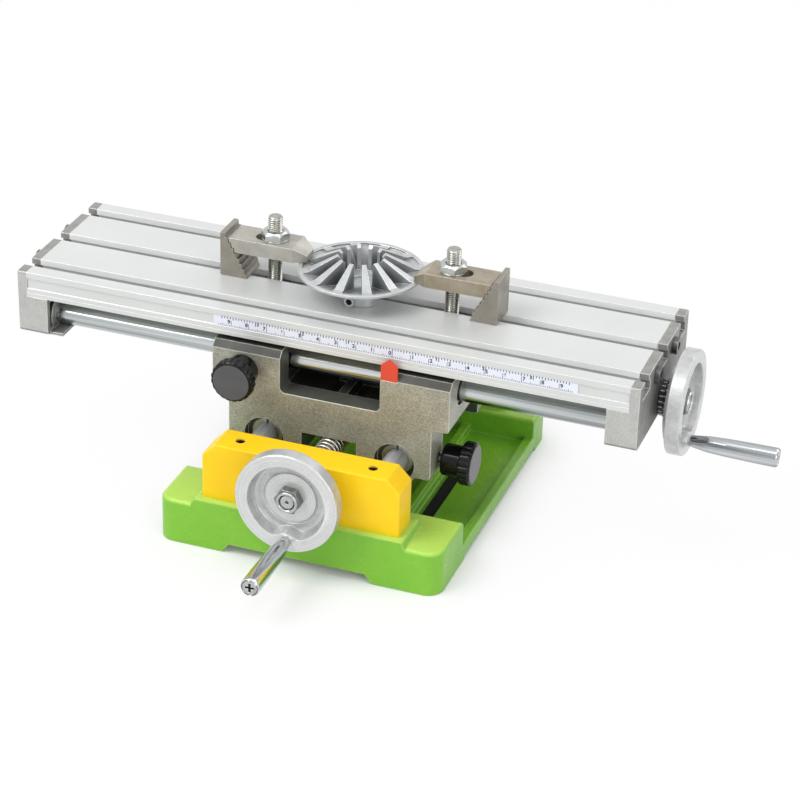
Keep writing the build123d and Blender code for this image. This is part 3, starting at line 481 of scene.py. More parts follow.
# Pockets of the straps and risers are painted dark: painted shade.
CLAMP_STEEL = Finish("strap_bright_steel", (182, 179, 171), (160, 156, 147), metal=0.45, rough=0.36, mottle=130,
                     grain_size=1700, edge_highlight_and_wear_colour=(238, 236, 230), edge_highlight_and_wear_share=0.8, speckle=0.2,
                     painted_recess_shade=((44, 41, 36), 0.006))
CLAMP_BROWN = replace(CLAMP_STEEL, name="strap_brown_steel", colour=(168, 158, 141), shade=(144, 133, 113),
                      edge_highlight_and_wear_colour=(234, 228, 214))
RISER_STEEL = replace(CLAMP_STEEL, name="riser_dull_steel", colour=(150, 145, 135), shade=(132, 127, 117),
                      edge_highlight_and_wear_colour=(206, 203, 196), painted_recess_shade=((62, 57, 49), 0.005))
BRONZE = Finish("sintered_bronze", (150, 132, 92), (122, 106, 74), metal=0.8, rough=0.38, mottle=300,
                grain_size=2500)
BUSH_STEEL = Finish("bush_grey_steel", (196, 197, 190), (164, 165, 158), metal=0.5, rough=0.34, mottle=300,
                    grain_size=2500, grain_depth=0.00001, edge_highlight_and_wear_colour=(236, 236, 232))
SPRING_STEEL = Finish("spring_steel", (206, 203, 194), (180, 176, 168), metal=0.9, rough=0.24, mottle=200,
                      grain_size=1800, grain_depth=0.000004, edge_radius=0.0)
# The knobs' front faces are painted grey: painted light on the face that meets the lamps.
KNOB_BLACK = Finish("knob_gloss_black", (20, 20, 20), (12, 12, 12), rough=0.14, rough_spread=0.04, mottle=50,
                    grain=Grain.SMOOTH, grain_size=260, edge_radius=0.0003, edge_highlight_and_wear_colour=(84, 84, 86), shine=0.22,
                    cut=CutAndPaintedLightPlanes(((1, -68.3), (0, 77.0)), (88, 88, 89), (78, 78, 79), 60.0, (0.03, 0.03, 1.0),
                                 rough=0.2))
DIAL_BLACK = Finish("dial_black", (34, 34, 35), (24, 24, 25), metal=0.2, rough=0.34, mottle=160,
                    grain_size=1500, grain_depth=0.000008, edge_highlight_and_wear_colour=(96, 96, 98), shine=0.3)
STRIP_WHITE = Finish("scale_strip_white", (226, 229, 240), (219, 223, 236), rough=0.38, rough_spread=0.03,
                     mottle=30, grain=Grain.SMOOTH, grain_size=600, grain_depth=0.000004)
PRINT_INK = Finish("scale_print_ink", (44, 46, 60), (58, 60, 74), rough=0.5, mottle=400, grain_size=1500,
                   grain_depth=0.000002, edge_radius=0.0, shine=0.2)
DIAL_LINE = Finish("dial_line_white", (226, 226, 224), (196, 196, 194), rough=0.45, mottle=400, grain_size=1500,
                   grain_depth=0.000002, edge_radius=0.0)
POINTER_RED = Finish("pointer_red", (196, 26, 12), (188, 22, 10), rough=0.36, mottle=120, grain=Grain.PEEL,
                     grain_depth=0.00003, edge_radius=0.0002, shine=0.15)
# Dark set and grub screws, and dark inserts that paint the shade inside holes and slots.
DARK_SCREWS_AND_HOLE_SHADE = Finish("dark_screws_and_hole_shade", (34, 32, 30), (24, 22, 21), metal=0.3, rough=0.55, mottle=500, grain_size=2000,
                   grain_depth=0.00001, shine=0.2)


def in_scene(piece: Piece) -> Piece:
    """Links a new object to the scene and gives it back."""
    bpy.context.scene.collection.objects.link(piece)
    return piece


def shape_object(name: str, points: np.ndarray, quads: np.ndarray, triangles: np.ndarray) -> Piece:
    """Makes a closed mesh object from whole arrays.

    The signed volume is the sum, over the triangles that the faces split into, of a corner times the cross
    product of the other two, divided by six. Where it is negative, every face is turned round, so that all
    faces point outwards.

    Args:
        name: the piece's name.
        points: its points, n by 3.
        quads: its four-sided faces, n by 4.
        triangles: its three-sided faces, n by 3.

    Returns:
        The object, linked to the scene, smooth but for its sharp edges.
    """
    split = np.vstack([quads[:, [0, 1, 2]], quads[:, [0, 2, 3]], triangles])
    a, b, c = (points[split[:, k]] for k in range(3))
    if np.einsum("ij,ij->i", a, np.cross(b, c)).sum() < 0:
        quads, triangles = quads[:, ::-1], triangles[:, ::-1]
    loops = np.concatenate([quads.ravel(), triangles.ravel()]).astype(np.int32)
    starts = np.concatenate([np.arange(len(quads)) * 4, len(quads) * 4 + np.arange(len(triangles)) * 3])
    mesh = bpy.data.meshes.new(name)
    mesh.vertices.add(len(points))
    mesh.vertices.foreach_set("co", points.astype(np.float32).ravel())
    mesh.loops.add(len(loops))
    mesh.loops.foreach_set("vertex_index", loops)
    mesh.polygons.add(len(starts))
    mesh.polygons.foreach_set("loop_start", starts.astype(np.int32))
    mesh.update(calc_edges=True)
    mesh.validate()
    mesh.shade_smooth()
    mesh.set_sharp_from_angle(angle=math.radians(SHARP_ANGLE))
    return in_scene(bpy.data.objects.new(name, mesh))


def skin(name: str, grid: np.ndarray, ring: bool = False) -> Piece:
    """Closes a grid of points into a solid's skin.

    Point (i, j) is on row i, going round with j. Each cell of the grid is one face, and the last column joins
    the first. On a ring the last row joins the first as well, and otherwise the first and last rows are closed
    by a fan to their middle.

    Args:
        name: the piece's name.
        grid: rows by columns by 3.
        ring: whether the rows close on themselves.

    Returns:
        The finished object.
    """
    rows, columns = grid.shape[:2]
    points = grid.reshape(-1, 3)
    i = np.arange(rows if ring else rows - 1)[:, None]
    j = np.arange(columns)[None, :]
    right, down = (j + 1) % columns, (i + 1) % rows
    corners = (i * columns + j, i * columns + right, down * columns + right, down * columns + j)
    quads = np.stack(np.broadcast_arrays(*corners), -1).reshape(-1, 4)
    triangles = np.zeros((0, 3), int)
    if not ring:
        points = np.vstack([points, grid[0].mean(0), grid[-1].mean(0)])
        here, after = np.arange(columns), (np.arange(columns) + 1) % columns
        last, tips = (rows - 1) * columns, rows * columns
        first_fan = np.stack([after, here, np.full(columns, tips)], -1)
        last_fan = np.stack([last + here, last + after, np.full(columns, tips + 1)], -1)
        triangles = np.vstack([first_fan, last_fan])
    return shape_object(name, points, quads, triangles)


def slabs(name: str, low: np.ndarray, high: np.ndarray, bend: Callable | None = None) -> Piece:
    """Makes many separate boxes as one mesh.

    A box's corner k takes X from the high corner where bit 0 of k is set, Y by bit 1 and Z by bit 2.

    Args:
        name: the piece's name.
        low: each box's lowest corner, n by 3.
        high: each box's highest corner, n by 3.
        bend: moves all the corners to their final places, if given.

    Returns:
        The finished object.
    """
    bits = (np.arange(8)[:, None] >> np.arange(3)) & 1
    points = np.where(bits[None] == 1, high[:, None, :], low[:, None, :]).reshape(-1, 3)
    sides = np.array([[0, 2, 3, 1], [4, 5, 7, 6], [0, 1, 5, 4], [2, 6, 7, 3], [0, 4, 6, 2], [1, 3, 7, 5]])
    quads = (np.arange(len(low))[:, None, None] * 8 + sides[None]).reshape(-1, 4)
    return shape_object(name, bend(points) if bend else points, quads, np.zeros((0, 3), int))


def eased(outline: Outline, radius: float, closed: bool = False) -> np.ndarray:
    """Rounds the corners of an outline.

    Each corner becomes a quadratic curve between the points that lie one radius before and after it, or less
    where a side is short: (1-s) squared times the first, plus 2s(1-s) times the corner, plus s squared times
    the last.

    Args:
        outline: pairs of radius and height, in millimetres.
        radius: the distance taken off each corner, in millimetres.
        closed: whether the last point joins the first.

    Returns:
        The rounded outline in metres, n by 2.
    """
    corner = np.array(outline, float) * MM
    before, after = np.roll(corner, 1, 0), np.roll(corner, -1, 0)

    def towards(other: np.ndarray) -> np.ndarray:
        """Walks one radius from each corner towards another point.

        Args:
            other: for each corner, that point.

        Returns:
            The points reached, at most 0.45 of the way.
        """
        step = other - corner
        length = np.maximum(np.linalg.norm(step, axis=1, keepdims=True), TINY)
        return corner + step * np.minimum(radius * MM / length, 0.45)

    s = np.linspace(0, 1, CURVE_POINTS)[None, :, None]
    first, last = towards(before)[:, None], towards(after)[:, None]
    curve = (1 - s) ** 2 * first + 2 * s * (1 - s) * corner[:, None] + s ** 2 * last
    if closed:
        return curve.reshape(-1, 2)
    return np.vstack([corner[:1], curve[1:-1].reshape(-1, 2), corner[-1:]])


def rounded(outline: Outline, radius: float, step: float, closed: bool = False) -> np.ndarray:
    """Rounds an outline's corners and adds points, so that none of its sides is longer than the step.

    The rounded outline is walked by its own length, and points are read off at its corners and at even steps.

    Args:
        outline: pairs of radius and height, in millimetres.
        radius: the distance taken off each corner, in millimetres.
        step: the longest side, in millimetres.
        closed: whether the last point joins the first.

    Returns:
        The finer outline in metres, n by 2.
    """
    curve = eased(outline, radius, closed)
    path = np.vstack([curve, curve[:1]]) if closed else curve
    length = np.concatenate([[0], np.cumsum(np.linalg.norm(np.diff(path, axis=0), axis=1))])
    even = np.linspace(0, length[-1], int(length[-1] / (step * MM)) + 2)
    at = np.unique(np.round(np.concatenate([length, even]), 8))
    walked = np.stack([np.interp(at, length, path[:, k]) for k in range(2)], -1)
    return walked[:-1] if closed else walked


def turned(outline: np.ndarray, columns: int = 72, start: float = 0.0) -> np.ndarray:
    """Turns an outline round its axis: x = r cos a, y = r sin a, and the height is kept.

    Args:
        outline: pairs of radius and height, n by 2.
        columns: points round the axis.
        start: the first point's angle.

    Returns:
        The grid, n by columns by 3.
    """
    angle = start + np.linspace(0, math.tau, columns, endpoint=False)[None, :]
    r, t = outline[:, :1], outline[:, 1:]
    return np.stack(np.broadcast_arrays(r * np.cos(angle), r * np.sin(angle), t + 0 * angle), -1)


def from_axis(grid: np.ndarray) -> np.ndarray:
    """Gives each point's distance from the axis."""
    return np.linalg.norm(grid[..., :2], axis=-1)


def hexagonal(outline: np.ndarray, flats: float, turn: float) -> np.ndarray:
    """Turns an outline, cut to a hexagon: the radius is the lesser of the outline's and the hexagon's.

    The hexagon's radius is half its width across flats, divided by the cosine of the angle to the nearest flat.

    Args:
        outline: pairs of radius and height, in metres.
        flats: the hexagon's width across flats, in metres.
        turn: where its first flat faces, in degrees.

    Returns:
        The grid in metres.
    """
    columns, sector = 96, math.pi / 3
    grid = turned(outline, columns, math.radians(turn))
    angle = np.linspace(0, math.tau, columns, endpoint=False)
    edge = flats / 2 / np.cos((angle + sector / 2) % sector - sector / 2)
    r = from_axis(grid)
    grid[..., :2] *= (np.minimum(r, edge[None]) / np.maximum(r, TINY))[..., None]
    return grid


def fluted(grid: np.ndarray, count: int, depth: float, low: float, high: float) -> np.ndarray:
    """Cuts even grooves into a turned grid between two heights.

    The radius loses depth times the cube of (1 + cos(count a)) / 2, faded in over half a millimetre at both
    heights. Points nearer to the axis than half the largest radius stay.

    Args:
        grid: the grid in metres, which is changed.
        count: the number of grooves.
        depth, low, high: the grooves' depth and both heights, in millimetres.

    Returns:
        The same grid.
    """
    angle = np.arctan2(grid[..., 1], grid[..., 0])
    r = from_axis(grid)
    inside = np.minimum(grid[..., 2] - low * MM, high * MM - grid[..., 2])
    fade = np.clip(inside / (0.5 * MM) + 0.5, 0, 1)
    groove = depth * MM * ((1 + np.cos(count * angle)) / 2) ** 3.0 * fade * (r > 0.5 * r.max())
    grid[..., :2] *= ((r - groove) / np.maximum(r, TINY))[..., None]
    return grid


def threaded(radius: float, pitch: float, start: float, end: float, columns: int, per_turn: int = 8) -> np.ndarray:
    """Gives the surface of a screw thread along Z.

    The phase of a point is its height over the pitch, less its angle over a full turn, and the radius falls from
    the crest by 0.55 of the pitch where the phase is at a half. Both ends are tapered down to the root.

    Args:
        radius, pitch, start, end: the crest's radius, the pitch and both ends, in millimetres.
        columns: points round the screw.
        per_turn: rows in each turn.

    Returns:
        The grid in metres.
    """
    t = np.linspace(start, end, int((end - start) / pitch * per_turn) + 1)[:, None]
    angle = np.linspace(0, math.tau, columns, endpoint=False)[None, :]
    phase = (t / pitch - angle / math.tau) % 1.0
    depth = 0.55 * pitch
    fall = np.clip(1.25 - np.abs(2 * phase - 1) * 1.25, 0, 1)
    r = radius - depth * fall
    r = np.minimum(r, radius - depth + np.minimum(t - start, end - t))
    return np.stack(np.broadcast_arrays(r * np.cos(angle), r * np.sin(angle), t), -1) * MM


def recessed(radius: float, height: float, arm: float, width: float, depth: float) -> np.ndarray:
    """Gives a round screw head with a crossed slot in its top.

    Across the top, a point is sunk by depth where it lies within half the width of one of the two lines and
    within the arm's length of the middle, with a soft wall of a quarter millimetre.

    Args:
        radius, height, arm, width, depth: the head's sizes and the slot's, in millimetres.

    Returns:
        The grid in metres, from the foot of the head to the middle of its top.
    """
    rows, wall = 30, 0.25
    side = [radius, radius, radius * 0.97]
    r = np.concatenate([side, np.linspace(radius * 0.9, 0.02, rows)])[:, None]
    t = np.concatenate([[0, height * 0.75, height * 0.94], np.full(rows, height)])[:, None]
    angle = np.linspace(0, math.tau, 96, endpoint=False)[None, :]
    x, y = r * np.cos(angle), r * np.sin(angle)
    near, far = np.minimum(np.abs(x), np.abs(y)), np.maximum(np.abs(x), np.abs(y))
    inside = np.clip((width / 2 - near) / wall + 0.5, 0, 1) * np.clip((arm - far) / wall + 0.5, 0, 1)
    z = t - depth * inside * (t == height)
    return np.stack([x, y, z + 0 * x], -1) * MM


@dataclass(frozen=True)
class Seat:
    """Where a turned piece stands: its origin, its axis and its own upward side."""

    origin: Point
    axis: Point
    up: Point = (0.0, 0.0, 1.0)

    def put(self, grid: np.ndarray) -> np.ndarray:
        """Carries points in metres there.

        Args:
            grid: the points.

        Returns:
            The points, with x along the seat's side, y along up and z along the axis.
        """
        axis, up = np.array(self.axis), np.array(self.up)
        turn = np.stack([np.cross(up, axis), up, axis])
        return np.array(self.origin) * MM + grid @ turn


def install(piece: Piece, body: str, finish: Finish, slot: str, *nodes: str) -> None:
    """Dresses a finished piece, lets it ride on its body and stand for its CAD nodes, and reports it.

    Args:
        piece: the piece, in place.
        body: the body that it rides on.
        finish: its finish.
        slot: a material slot's name; not used.
        nodes: the CAD nodes that it stands for, if any.
    """
    finish.dress(piece)
    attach(piece, body)
    if nodes:
        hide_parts(*nodes)
    log.info("%s: %d faces on %s", piece.name, len(piece.data.polygons), body)


class Way(Enum):
    """The two ways that the table moves."""

    LONG = "x"
    CROSS = "y"


@dataclass
class Drive:
    """A handwheel with its dial, hub nut and turning grip, on the end of its lead screw. Sizes in millimetres.

    Heights are measured along the axis from the rim's front face, outwards.
    """

    way: Way
    seat: Seat
    reach: float
    screw_start: float
    screw_end: float
    tail_end: float
    nut_turn: float
    finish: Finish
    grip_finish: Finish
    wheel_inner: float = 21.4
    web_depth: float = 9.0
    wall_slope: float = 8.0
    fillet: float = 5.0
    handle_offset: float = 22.4
    handle_boss: float = 4.7
    nut_flats: float = 13.0
    dial_radius: float = 11.0
    dial_step: float = 1.5
    dial_neck: float = 2.7
    dial_grooves: int = 40
    hub_back: float = 11.2
    grip_far: float = 47.6
    pin_radius: float = 2.5
    lead: float = 2.0
    screw_radius: float = 5.0

    def node(self, part: str) -> str:
        """Names this drive's CAD node of that part."""
        return f"{self.way.value}_{part}"

    @property
    def body(self) -> str:
        """Names the body that turns with the wheel."""
        return self.node("screw")

    @property
    def dial_back(self) -> float:
        """Gives the height of the dial's back."""
        return -self.reach + 0.3

    def on_axis(self, part: str, grid: np.ndarray, ring: bool = True) -> Piece:
        """Closes a grid into a piece on the drive's axis."""
        return skin(self.node(part), self.seat.put(grid), ring)

    def on_handle(self, part: str, grid: np.ndarray, ring: bool = False) -> Piece:
        """Closes a grid into a piece on the handle's axis."""
        grid[..., 1] -= self.handle_offset * MM
        return self.on_axis(part, grid, ring)

    def wheel(self) -> Piece:
        """Builds the wheel: an outline turned round the axis, with the handle's boss raised flush with the rim.

        The raised part is where the distance to the rim's inner edge, or to the boss's circle, is below zero. The
        two distances are joined softly: where they differ by less than the fillet's size, the lesser of them loses
        a quarter of that size times the square of what is missing to it, as a share of it. That leaves a fillet
        beside the boss. Outside it, the front falls by the wall's slope for each millimetre of that distance,
        until it meets the web. The points stand closer together near the boss.

        Returns:
            The wheel.
        """
        columns, crowding, softness = 360, 0.55, 0.1
        front = [(4.0, -6.8), (14.1, -6.8), (14.45, -7.7), (14.9, -7.7), (15.2, -7.25), (17.6, -7.25),
                 (19.5, -6.4), (20.6, -4.4), (21.15, -0.4), (21.5, 0.0)]
        rest = [(27.7, 0.0), (28.2, -0.5), (28.2, -7.5), (27.7, -8.0), (23.4, -8.0), (22.2, -10.2),
                (13.3, -10.3), (12.6, -11.2), (4.0, -11.2)]
        grid = turned(np.vstack([rounded(front, 0.35, 0.25), rounded(rest, 0.3, 1.2)]), columns)
        angle = np.linspace(0, math.tau, columns, endpoint=False)
        spread = angle - crowding * np.sin(angle + math.pi / 2)
        r = from_axis(grid)
        grid[..., 0], grid[..., 1] = r * np.cos(spread)[None], r * np.sin(spread)[None]
        to_rim = self.wheel_inner - r / MM
        to_boss = np.hypot(grid[..., 0], grid[..., 1] + self.handle_offset * MM) / MM - self.handle_boss
        missing = np.clip(self.fillet - np.abs(to_rim - to_boss), 0, self.fillet) / self.fillet
        outside = np.maximum(np.minimum(to_rim, to_boss) - self.fillet / 4 * missing ** 2, 0.0)
        wall = -self.wall_slope * outside
        here = grid[..., 2] / MM
        on_front = (here > -self.web_depth) & (r / MM < self.wheel_inner + 0.2)
        soft = 0.5 * (here + wall + np.sqrt((here - wall) ** 2 + softness))
        grid[..., 2] = np.where(on_front, np.minimum(soft, 0.0), here) * MM
        return self.on_axis("wheel_cast", grid)

    def hub_nut(self) -> Piece:
        """Builds the hexagon nut on the wheel's hub.

        Returns:
            The nut.
        """
        outline = [(4.2, -6.8), (7.6, -6.8), (7.6, -3.0), (6.5, -2.2), (4.2, -2.2)]
        grid = hexagonal(rounded(outline, 0.12, 0.3, True), self.nut_flats * MM, self.nut_turn)
        return self.on_axis("hub_lock_nut", grid)

    def nut_collar(self) -> Piece:
        """Builds the nut's bright rolled collar."""
        outline = [(4.3, -2.4), (6.1, -2.4), (6.1, -1.6), (5.6, -0.8), (4.8, -0.8), (4.3, -1.3)]
        return self.on_axis("hub_nut_collar", turned(rounded(outline, 0.35, 0.3, True), 96))

    def dial(self) -> Piece:
        """Builds the dial: a turned ring with even grooves on its rim and a plain neck behind.

        Returns:
            The dial.
        """
        back, front, r = self.dial_back, -self.hub_back, self.dial_radius
        neck, step = back + self.dial_neck, r - self.dial_step
        outline = [(4.0, front), (r - 0.5, front), (r, front - 0.5), (r, neck + 0.4), (r - 0.4, neck),
                   (step, neck), (step, back), (4.0, back)]
        grid = turned(rounded(outline, 0.2, 0.35, True), 400)
        return self.on_axis("dial_ring", fluted(grid, self.dial_grooves, 0.5, neck + 0.2, front - 0.6))

    def onto_ring(self, corners: np.ndarray) -> np.ndarray:
        """Bends corners given as angle, radius and height in millimetres round the drive's axis."""
        angle, r, t = corners.T
        return self.seat.put(np.stack([r * np.cos(angle), r * np.sin(angle), t], -1) * MM)

    def dial_lines(self) -> Piece:
        """Builds the light lines on the dial's two steps, one to each twentieth of a turn.

        Returns:
            All the lines as one piece.
        """
        count, half_width, sunk, thick = 20, 0.32, 0.1, 0.14
        neck = self.dial_back + self.dial_neck
        middle = (np.arange(count) + 0.25) * math.tau / count
        steps = ((self.dial_radius, neck + 0.5, -self.hub_back - 0.5),
                 (self.dial_radius - self.dial_step, self.dial_back + 0.2, neck - 0.2))
        low = np.vstack([np.stack([middle - half_width / r, np.full(count, r - sunk), np.full(count, start)], -1)
                         for r, start, _ in steps])
        size = np.vstack([np.tile([2 * half_width / r, thick, end - start], (count, 1))
                          for r, start, end in steps])
        return slabs(self.node("dial_lines"), low, low + size, self.onto_ring)

    def grip(self) -> Piece:
        """Builds the grip: a slim neck that swells into a long taper, with a rolled end round its screw.

        Returns:
            The grip.
        """
        far = self.grip_far
        outline = [(2.6, 0.6), (3.0, 0.6), (3.5, 4.0), (4.35, 10.0), (4.85, 20.0), (5.15, 35.0), (5.2, 44.0),
                   (5.2, far - 0.9), (4.8, far - 0.1), (4.45, far), (4.3, far - 0.5), (4.3, far - 1.9),
                   (2.6, far - 1.9)]
        return self.on_handle("grip_barrel", turned(rounded(outline, 0.5, 0.8, True)), ring=True)

    def pin(self) -> Piece:
        """Builds the screw head in the grip's end, with its crossed slot.

        Returns:
            The head.
        """
        grid = recessed(radius=4.1, height=1.7, arm=2.4, width=1.1, depth=1.2)
        grid[..., 2] += (self.grip_far - 1.75) * MM
        return self.on_handle("pin_head", grid)

    def pin_slot_shade(self) -> Piece:
        """Builds a dark insert on the floor of the crossed slot as painted shade: one long arm and two short ones.

        Returns:
            The three arms as one piece.
        """
        arms = np.array([[-2.2, -0.45, 2.2, 0.45], [-0.45, 0.47, 0.45, 2.2], [-0.45, -2.2, 0.45, -0.47]])
        arms[:, [1, 3]] -= self.handle_offset
        low = np.column_stack([arms[:, :2], np.full(3, self.grip_far - 0.9)])
        high = np.column_stack([arms[:, 2:], np.full(3, self.grip_far - 0.3)])
        return slabs(self.node("pin_slot_shade"), low * MM, high * MM, self.seat.put)

    def pin_shank(self) -> Piece:
        """Builds the pin's shank, from the wheel's back to its head.

        Returns:
            The shank.
        """
        r, foot, top = self.pin_radius, -10.15, self.grip_far - 1.8
        outline = [(0.05, foot), (r, foot), (r, top), (0.05, top)]
        return self.on_handle("pin_shank", turned(eased(outline, 0.1), 40))

    def screw(self) -> list[Piece]:
        """Builds the lead screw.

        Returns:
            Its thread, its drilled end under the nut and its plain tail.
        """
        start, end, foot = self.screw_start, self.screw_end, self.tail_end
        nose = [(0.05, end - 0.4), (4.0, end - 0.4), (4.0, -3.6), (3.75, -3.4), (3.75, -2.0), (3.5, -1.8),
                (1.0, -1.8), (0.9, -2.1), (0.85, -4.4), (0.05, -4.6)]
        tail = [(0.05, foot), (3.6, foot), (4.0, foot + 0.5), (4.0, start + 0.4), (0.05, start + 0.4)]
        thread = threaded(self.screw_radius, self.lead, start, end, columns=32, per_turn=7)
        return [self.on_axis("screw_thread", thread, ring=False)] + [
            self.on_axis(part, turned(rounded(outline, 0.15, 1.5), 48), ring=False)
            for part, outline in (("screw_nose", nose), ("screw_tail", tail))]

    def build(self) -> None:
        """Builds every piece of the drive and puts it on its body."""
        install(self.wheel(), self.body, self.finish, "wheel_aluminium", self.node("handwheel"))
        install(self.hub_nut(), self.body, NUT_DULL, "zinc_steel", self.node("hub_nut"))
        install(self.nut_collar(), self.body, ZINC, "zinc_steel")
        install(self.dial(), self.body, DIAL_BLACK, "dial_black", self.node("dial"))
        install(self.dial_lines(), self.body, DIAL_LINE, "dial_black")
        install(self.grip(), self.node("grip"), self.grip_finish, "bright_steel", self.node("grip"))
        install(self.pin(), self.body, ZINC, "zinc_steel", self.node("handle_pin"))
        install(self.pin_slot_shade(), self.body, DARK_SCREWS_AND_HOLE_SHADE, "zinc_steel")
        install(self.pin_shank(), self.body, ZINC, "zinc_steel")
        thread, nose, tail = self.screw()
        install(thread, self.body, THREAD_STEEL, "zinc_steel", self.node("lead_screw"))
        install(nose, self.body, ZINC, "zinc_steel")
        install(tail, self.body, ZINC, "zinc_steel")


@dataclass
class LockKnob:
    """A fluted knob on a threaded stud, which clamps the saddle on a rod. Sizes in millimetres."""

    name: str
    seat: Seat
    stand_off: float = 2.7
    collar_radius: float = 8.6
    collar_length: float = 10.6
    head_radius: float = 11.8
    head_length: float = 6.7
    flutes: int = 20
    stud_radius: float = 3.0
    stud_pitch: float = 1.0
    stud_depth: float = 11.5

    def knob(self) -> Piece:
        """Builds the knob: a turned collar and head, with even flutes cut along the head's rim.

        Returns:
            The knob.
        """
        foot, neck, r = self.stand_off, self.collar_radius, self.head_radius
        shoulder = foot + self.collar_length
        face = shoulder + self.head_length
        outline = [(3.1, foot), (neck - 0.5, foot), (neck, foot + 0.6), (neck, shoulder - 0.4),
                   (r - 0.6, shoulder - 0.1), (r, shoulder + 0.6), (r, face - 1.2), (r - 1.2, face - 0.15),
                   (r - 2.0, face), (0.05, face)]
        grid = turned(rounded(outline, 0.5, 0.5), 360)
        grid = fluted(grid, self.flutes, 0.55, shoulder - 0.2, face - 0.7)
        return skin(f"{self.name}_fluted_knob", self.seat.put(grid))

    def stud(self) -> Piece:
        """Builds the stud's thread, from inside the saddle to inside the knob."""
        grid = threaded(self.stud_radius, self.stud_pitch, -self.stud_depth, self.stand_off + 2.0, columns=32)
        return skin(f"{self.name}_stud_thread", self.seat.put(grid))

    def build(self) -> None:
        """Builds the knob and its stud and puts them on their bodies."""
        install(self.knob(), f"{self.name}_knob", KNOB_BLACK, "black_plastic", f"{self.name}_knob")
        install(self.stud(), f"{self.name}_stud", THREAD_STEEL, "zinc_steel", f"{self.name}_stud")


@dataclass
class WorkClamp:
    """A strap on a stepped riser, drawn down by a nut on a T-bolt. Sizes in millimetres."""

    side: str
    stud_x: float
    nut_turn: float
    strap_finish: Finish
    stud_top: float
    stud_y: float = 4.0
    stud_radius: float = 4.0
    stud_pitch: float = 1.25
    strap_top: float = 137.6
    head_half: float = 6.4
    head_height: float = 5.0
    head_top: float = 111.7
    nut_flats: float = 13.8

    def seat(self, height: float) -> Seat:
        """Gives a seat on the stud's axis at that height."""
        return Seat((self.stud_x, self.stud_y, height), (0.0, 0.0, 1.0), (0.0, 1.0, 0.0))

    def stud(self) -> Piece:
        """Builds the stud's thread."""
        grid = threaded(self.stud_radius, self.stud_pitch, self.head_top - 0.5, self.stud_top, columns=40)
        return skin(f"{self.side}_stud_thread", self.seat(0.0).put(grid))

    def head(self) -> Piece:
        """Builds the bolt's square head inside the slot.

        Returns:
            The head.
        """
        middle, half = np.array([self.stud_x, self.stud_y]), self.head_half
        low = np.array([[*(middle - half), self.head_top - self.head_height]])
        high = np.array([[*(middle + half), self.head_top]])
        return slabs(f"{self.side}_bolt_head", low * MM, high * MM)

    def washer(self) -> Piece:
        """Builds the washer, with slightly rolled edges.

        Returns:
            The washer.
        """
        outline = [(4.1, 0.0), (7.2, 0.0), (7.2, 0.8), (4.1, 0.8)]
        grid = turned(rounded(outline, 0.2, 0.4, True))
        return skin(f"{self.side}_flat_washer", self.seat(self.strap_top + 0.02).put(grid), ring=True)

    def nut(self) -> Piece:
        """Builds the nut: a hexagon whose corners are cut by a cone above and below.

        Returns:
            The nut.
        """
        outline = [(4.05, 0.4), (4.5, 0.0), (7.0, 0.0), (8.2, 0.5), (8.2, 2.7), (6.0, 4.6), (4.7, 4.6),
                   (4.05, 4.1)]
        grid = hexagonal(rounded(outline, 0.1, 0.25, True), self.nut_flats * MM, self.nut_turn)
        return skin(f"{self.side}_hexagon_nut", self.seat(self.strap_top + 0.85).put(grid), ring=True)

    def build(self) -> None:
        """Builds the turned pieces, and dresses the CAD's strap and riser."""
        install(self.stud(), f"{self.side}_clamp", THREAD_STEEL, "zinc_steel", f"{self.side}_t_bolt")
        install(self.head(), f"{self.side}_clamp", ZINC, "zinc_steel")
        install(self.washer(), f"{self.side}_washer", ZINC, "zinc_steel", f"{self.side}_washer")
        install(self.nut(), f"{self.side}_nut", ZINC, "zinc_steel", f"{self.side}_nut")
        self.strap_finish.dress(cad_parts[f"{self.side}_strap"])
        RISER_STEEL.dress(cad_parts[f"{self.side}_step_block"])


@dataclass
class CrossSpring:
    """The spring on the cross screw, between the front block and the saddle. Sizes in millimetres."""

    start: float = -70.15
    end: float = -9.15
    axis_z: float = 46.8
    radius: float = 6.1
    wire: float = 0.8
    pitch: float = 3.4
    rows_per_turn: int = 24
    columns: int = 12

    def coil(self) -> Piece:
        """Builds the coil as a tube.

        The tube's middle line is (r cos a, p a / 2 pi, r sin a). Round it, a point stands off by the wire's radius
        along the outward line and across both that line and the tangent.

        Returns:
            The coil.
        """
        turns = (self.end - self.start) / self.pitch
        a = np.linspace(0, math.tau * turns, int(turns * self.rows_per_turn))[:, None, None]
        around = np.linspace(0, math.tau, self.columns, endpoint=False)[None, :, None]
        outward = np.concatenate([np.cos(a), 0 * a, np.sin(a)], -1)
        tangent = np.concatenate([-self.radius * np.sin(a), 0 * a + self.pitch / math.tau,
                                  self.radius * np.cos(a)], -1)
        across = np.cross(tangent, outward)
        across /= np.linalg.norm(across, axis=-1, keepdims=True)
        along = np.concatenate([0 * a, self.start + self.pitch * a / math.tau, 0 * a + self.axis_z], -1)
        middle = self.radius * outward + along
        grid = middle + self.wire * (np.cos(around) * outward + np.sin(around) * across)
        return skin("cross_spring_coil", grid * MM)

    def build(self) -> None:
        """Builds and dresses the coil, and hides the CAD's spring."""
        piece = self.coil()
        SPRING_STEEL.dress(piece)
        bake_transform(piece)
        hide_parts("y_spring")


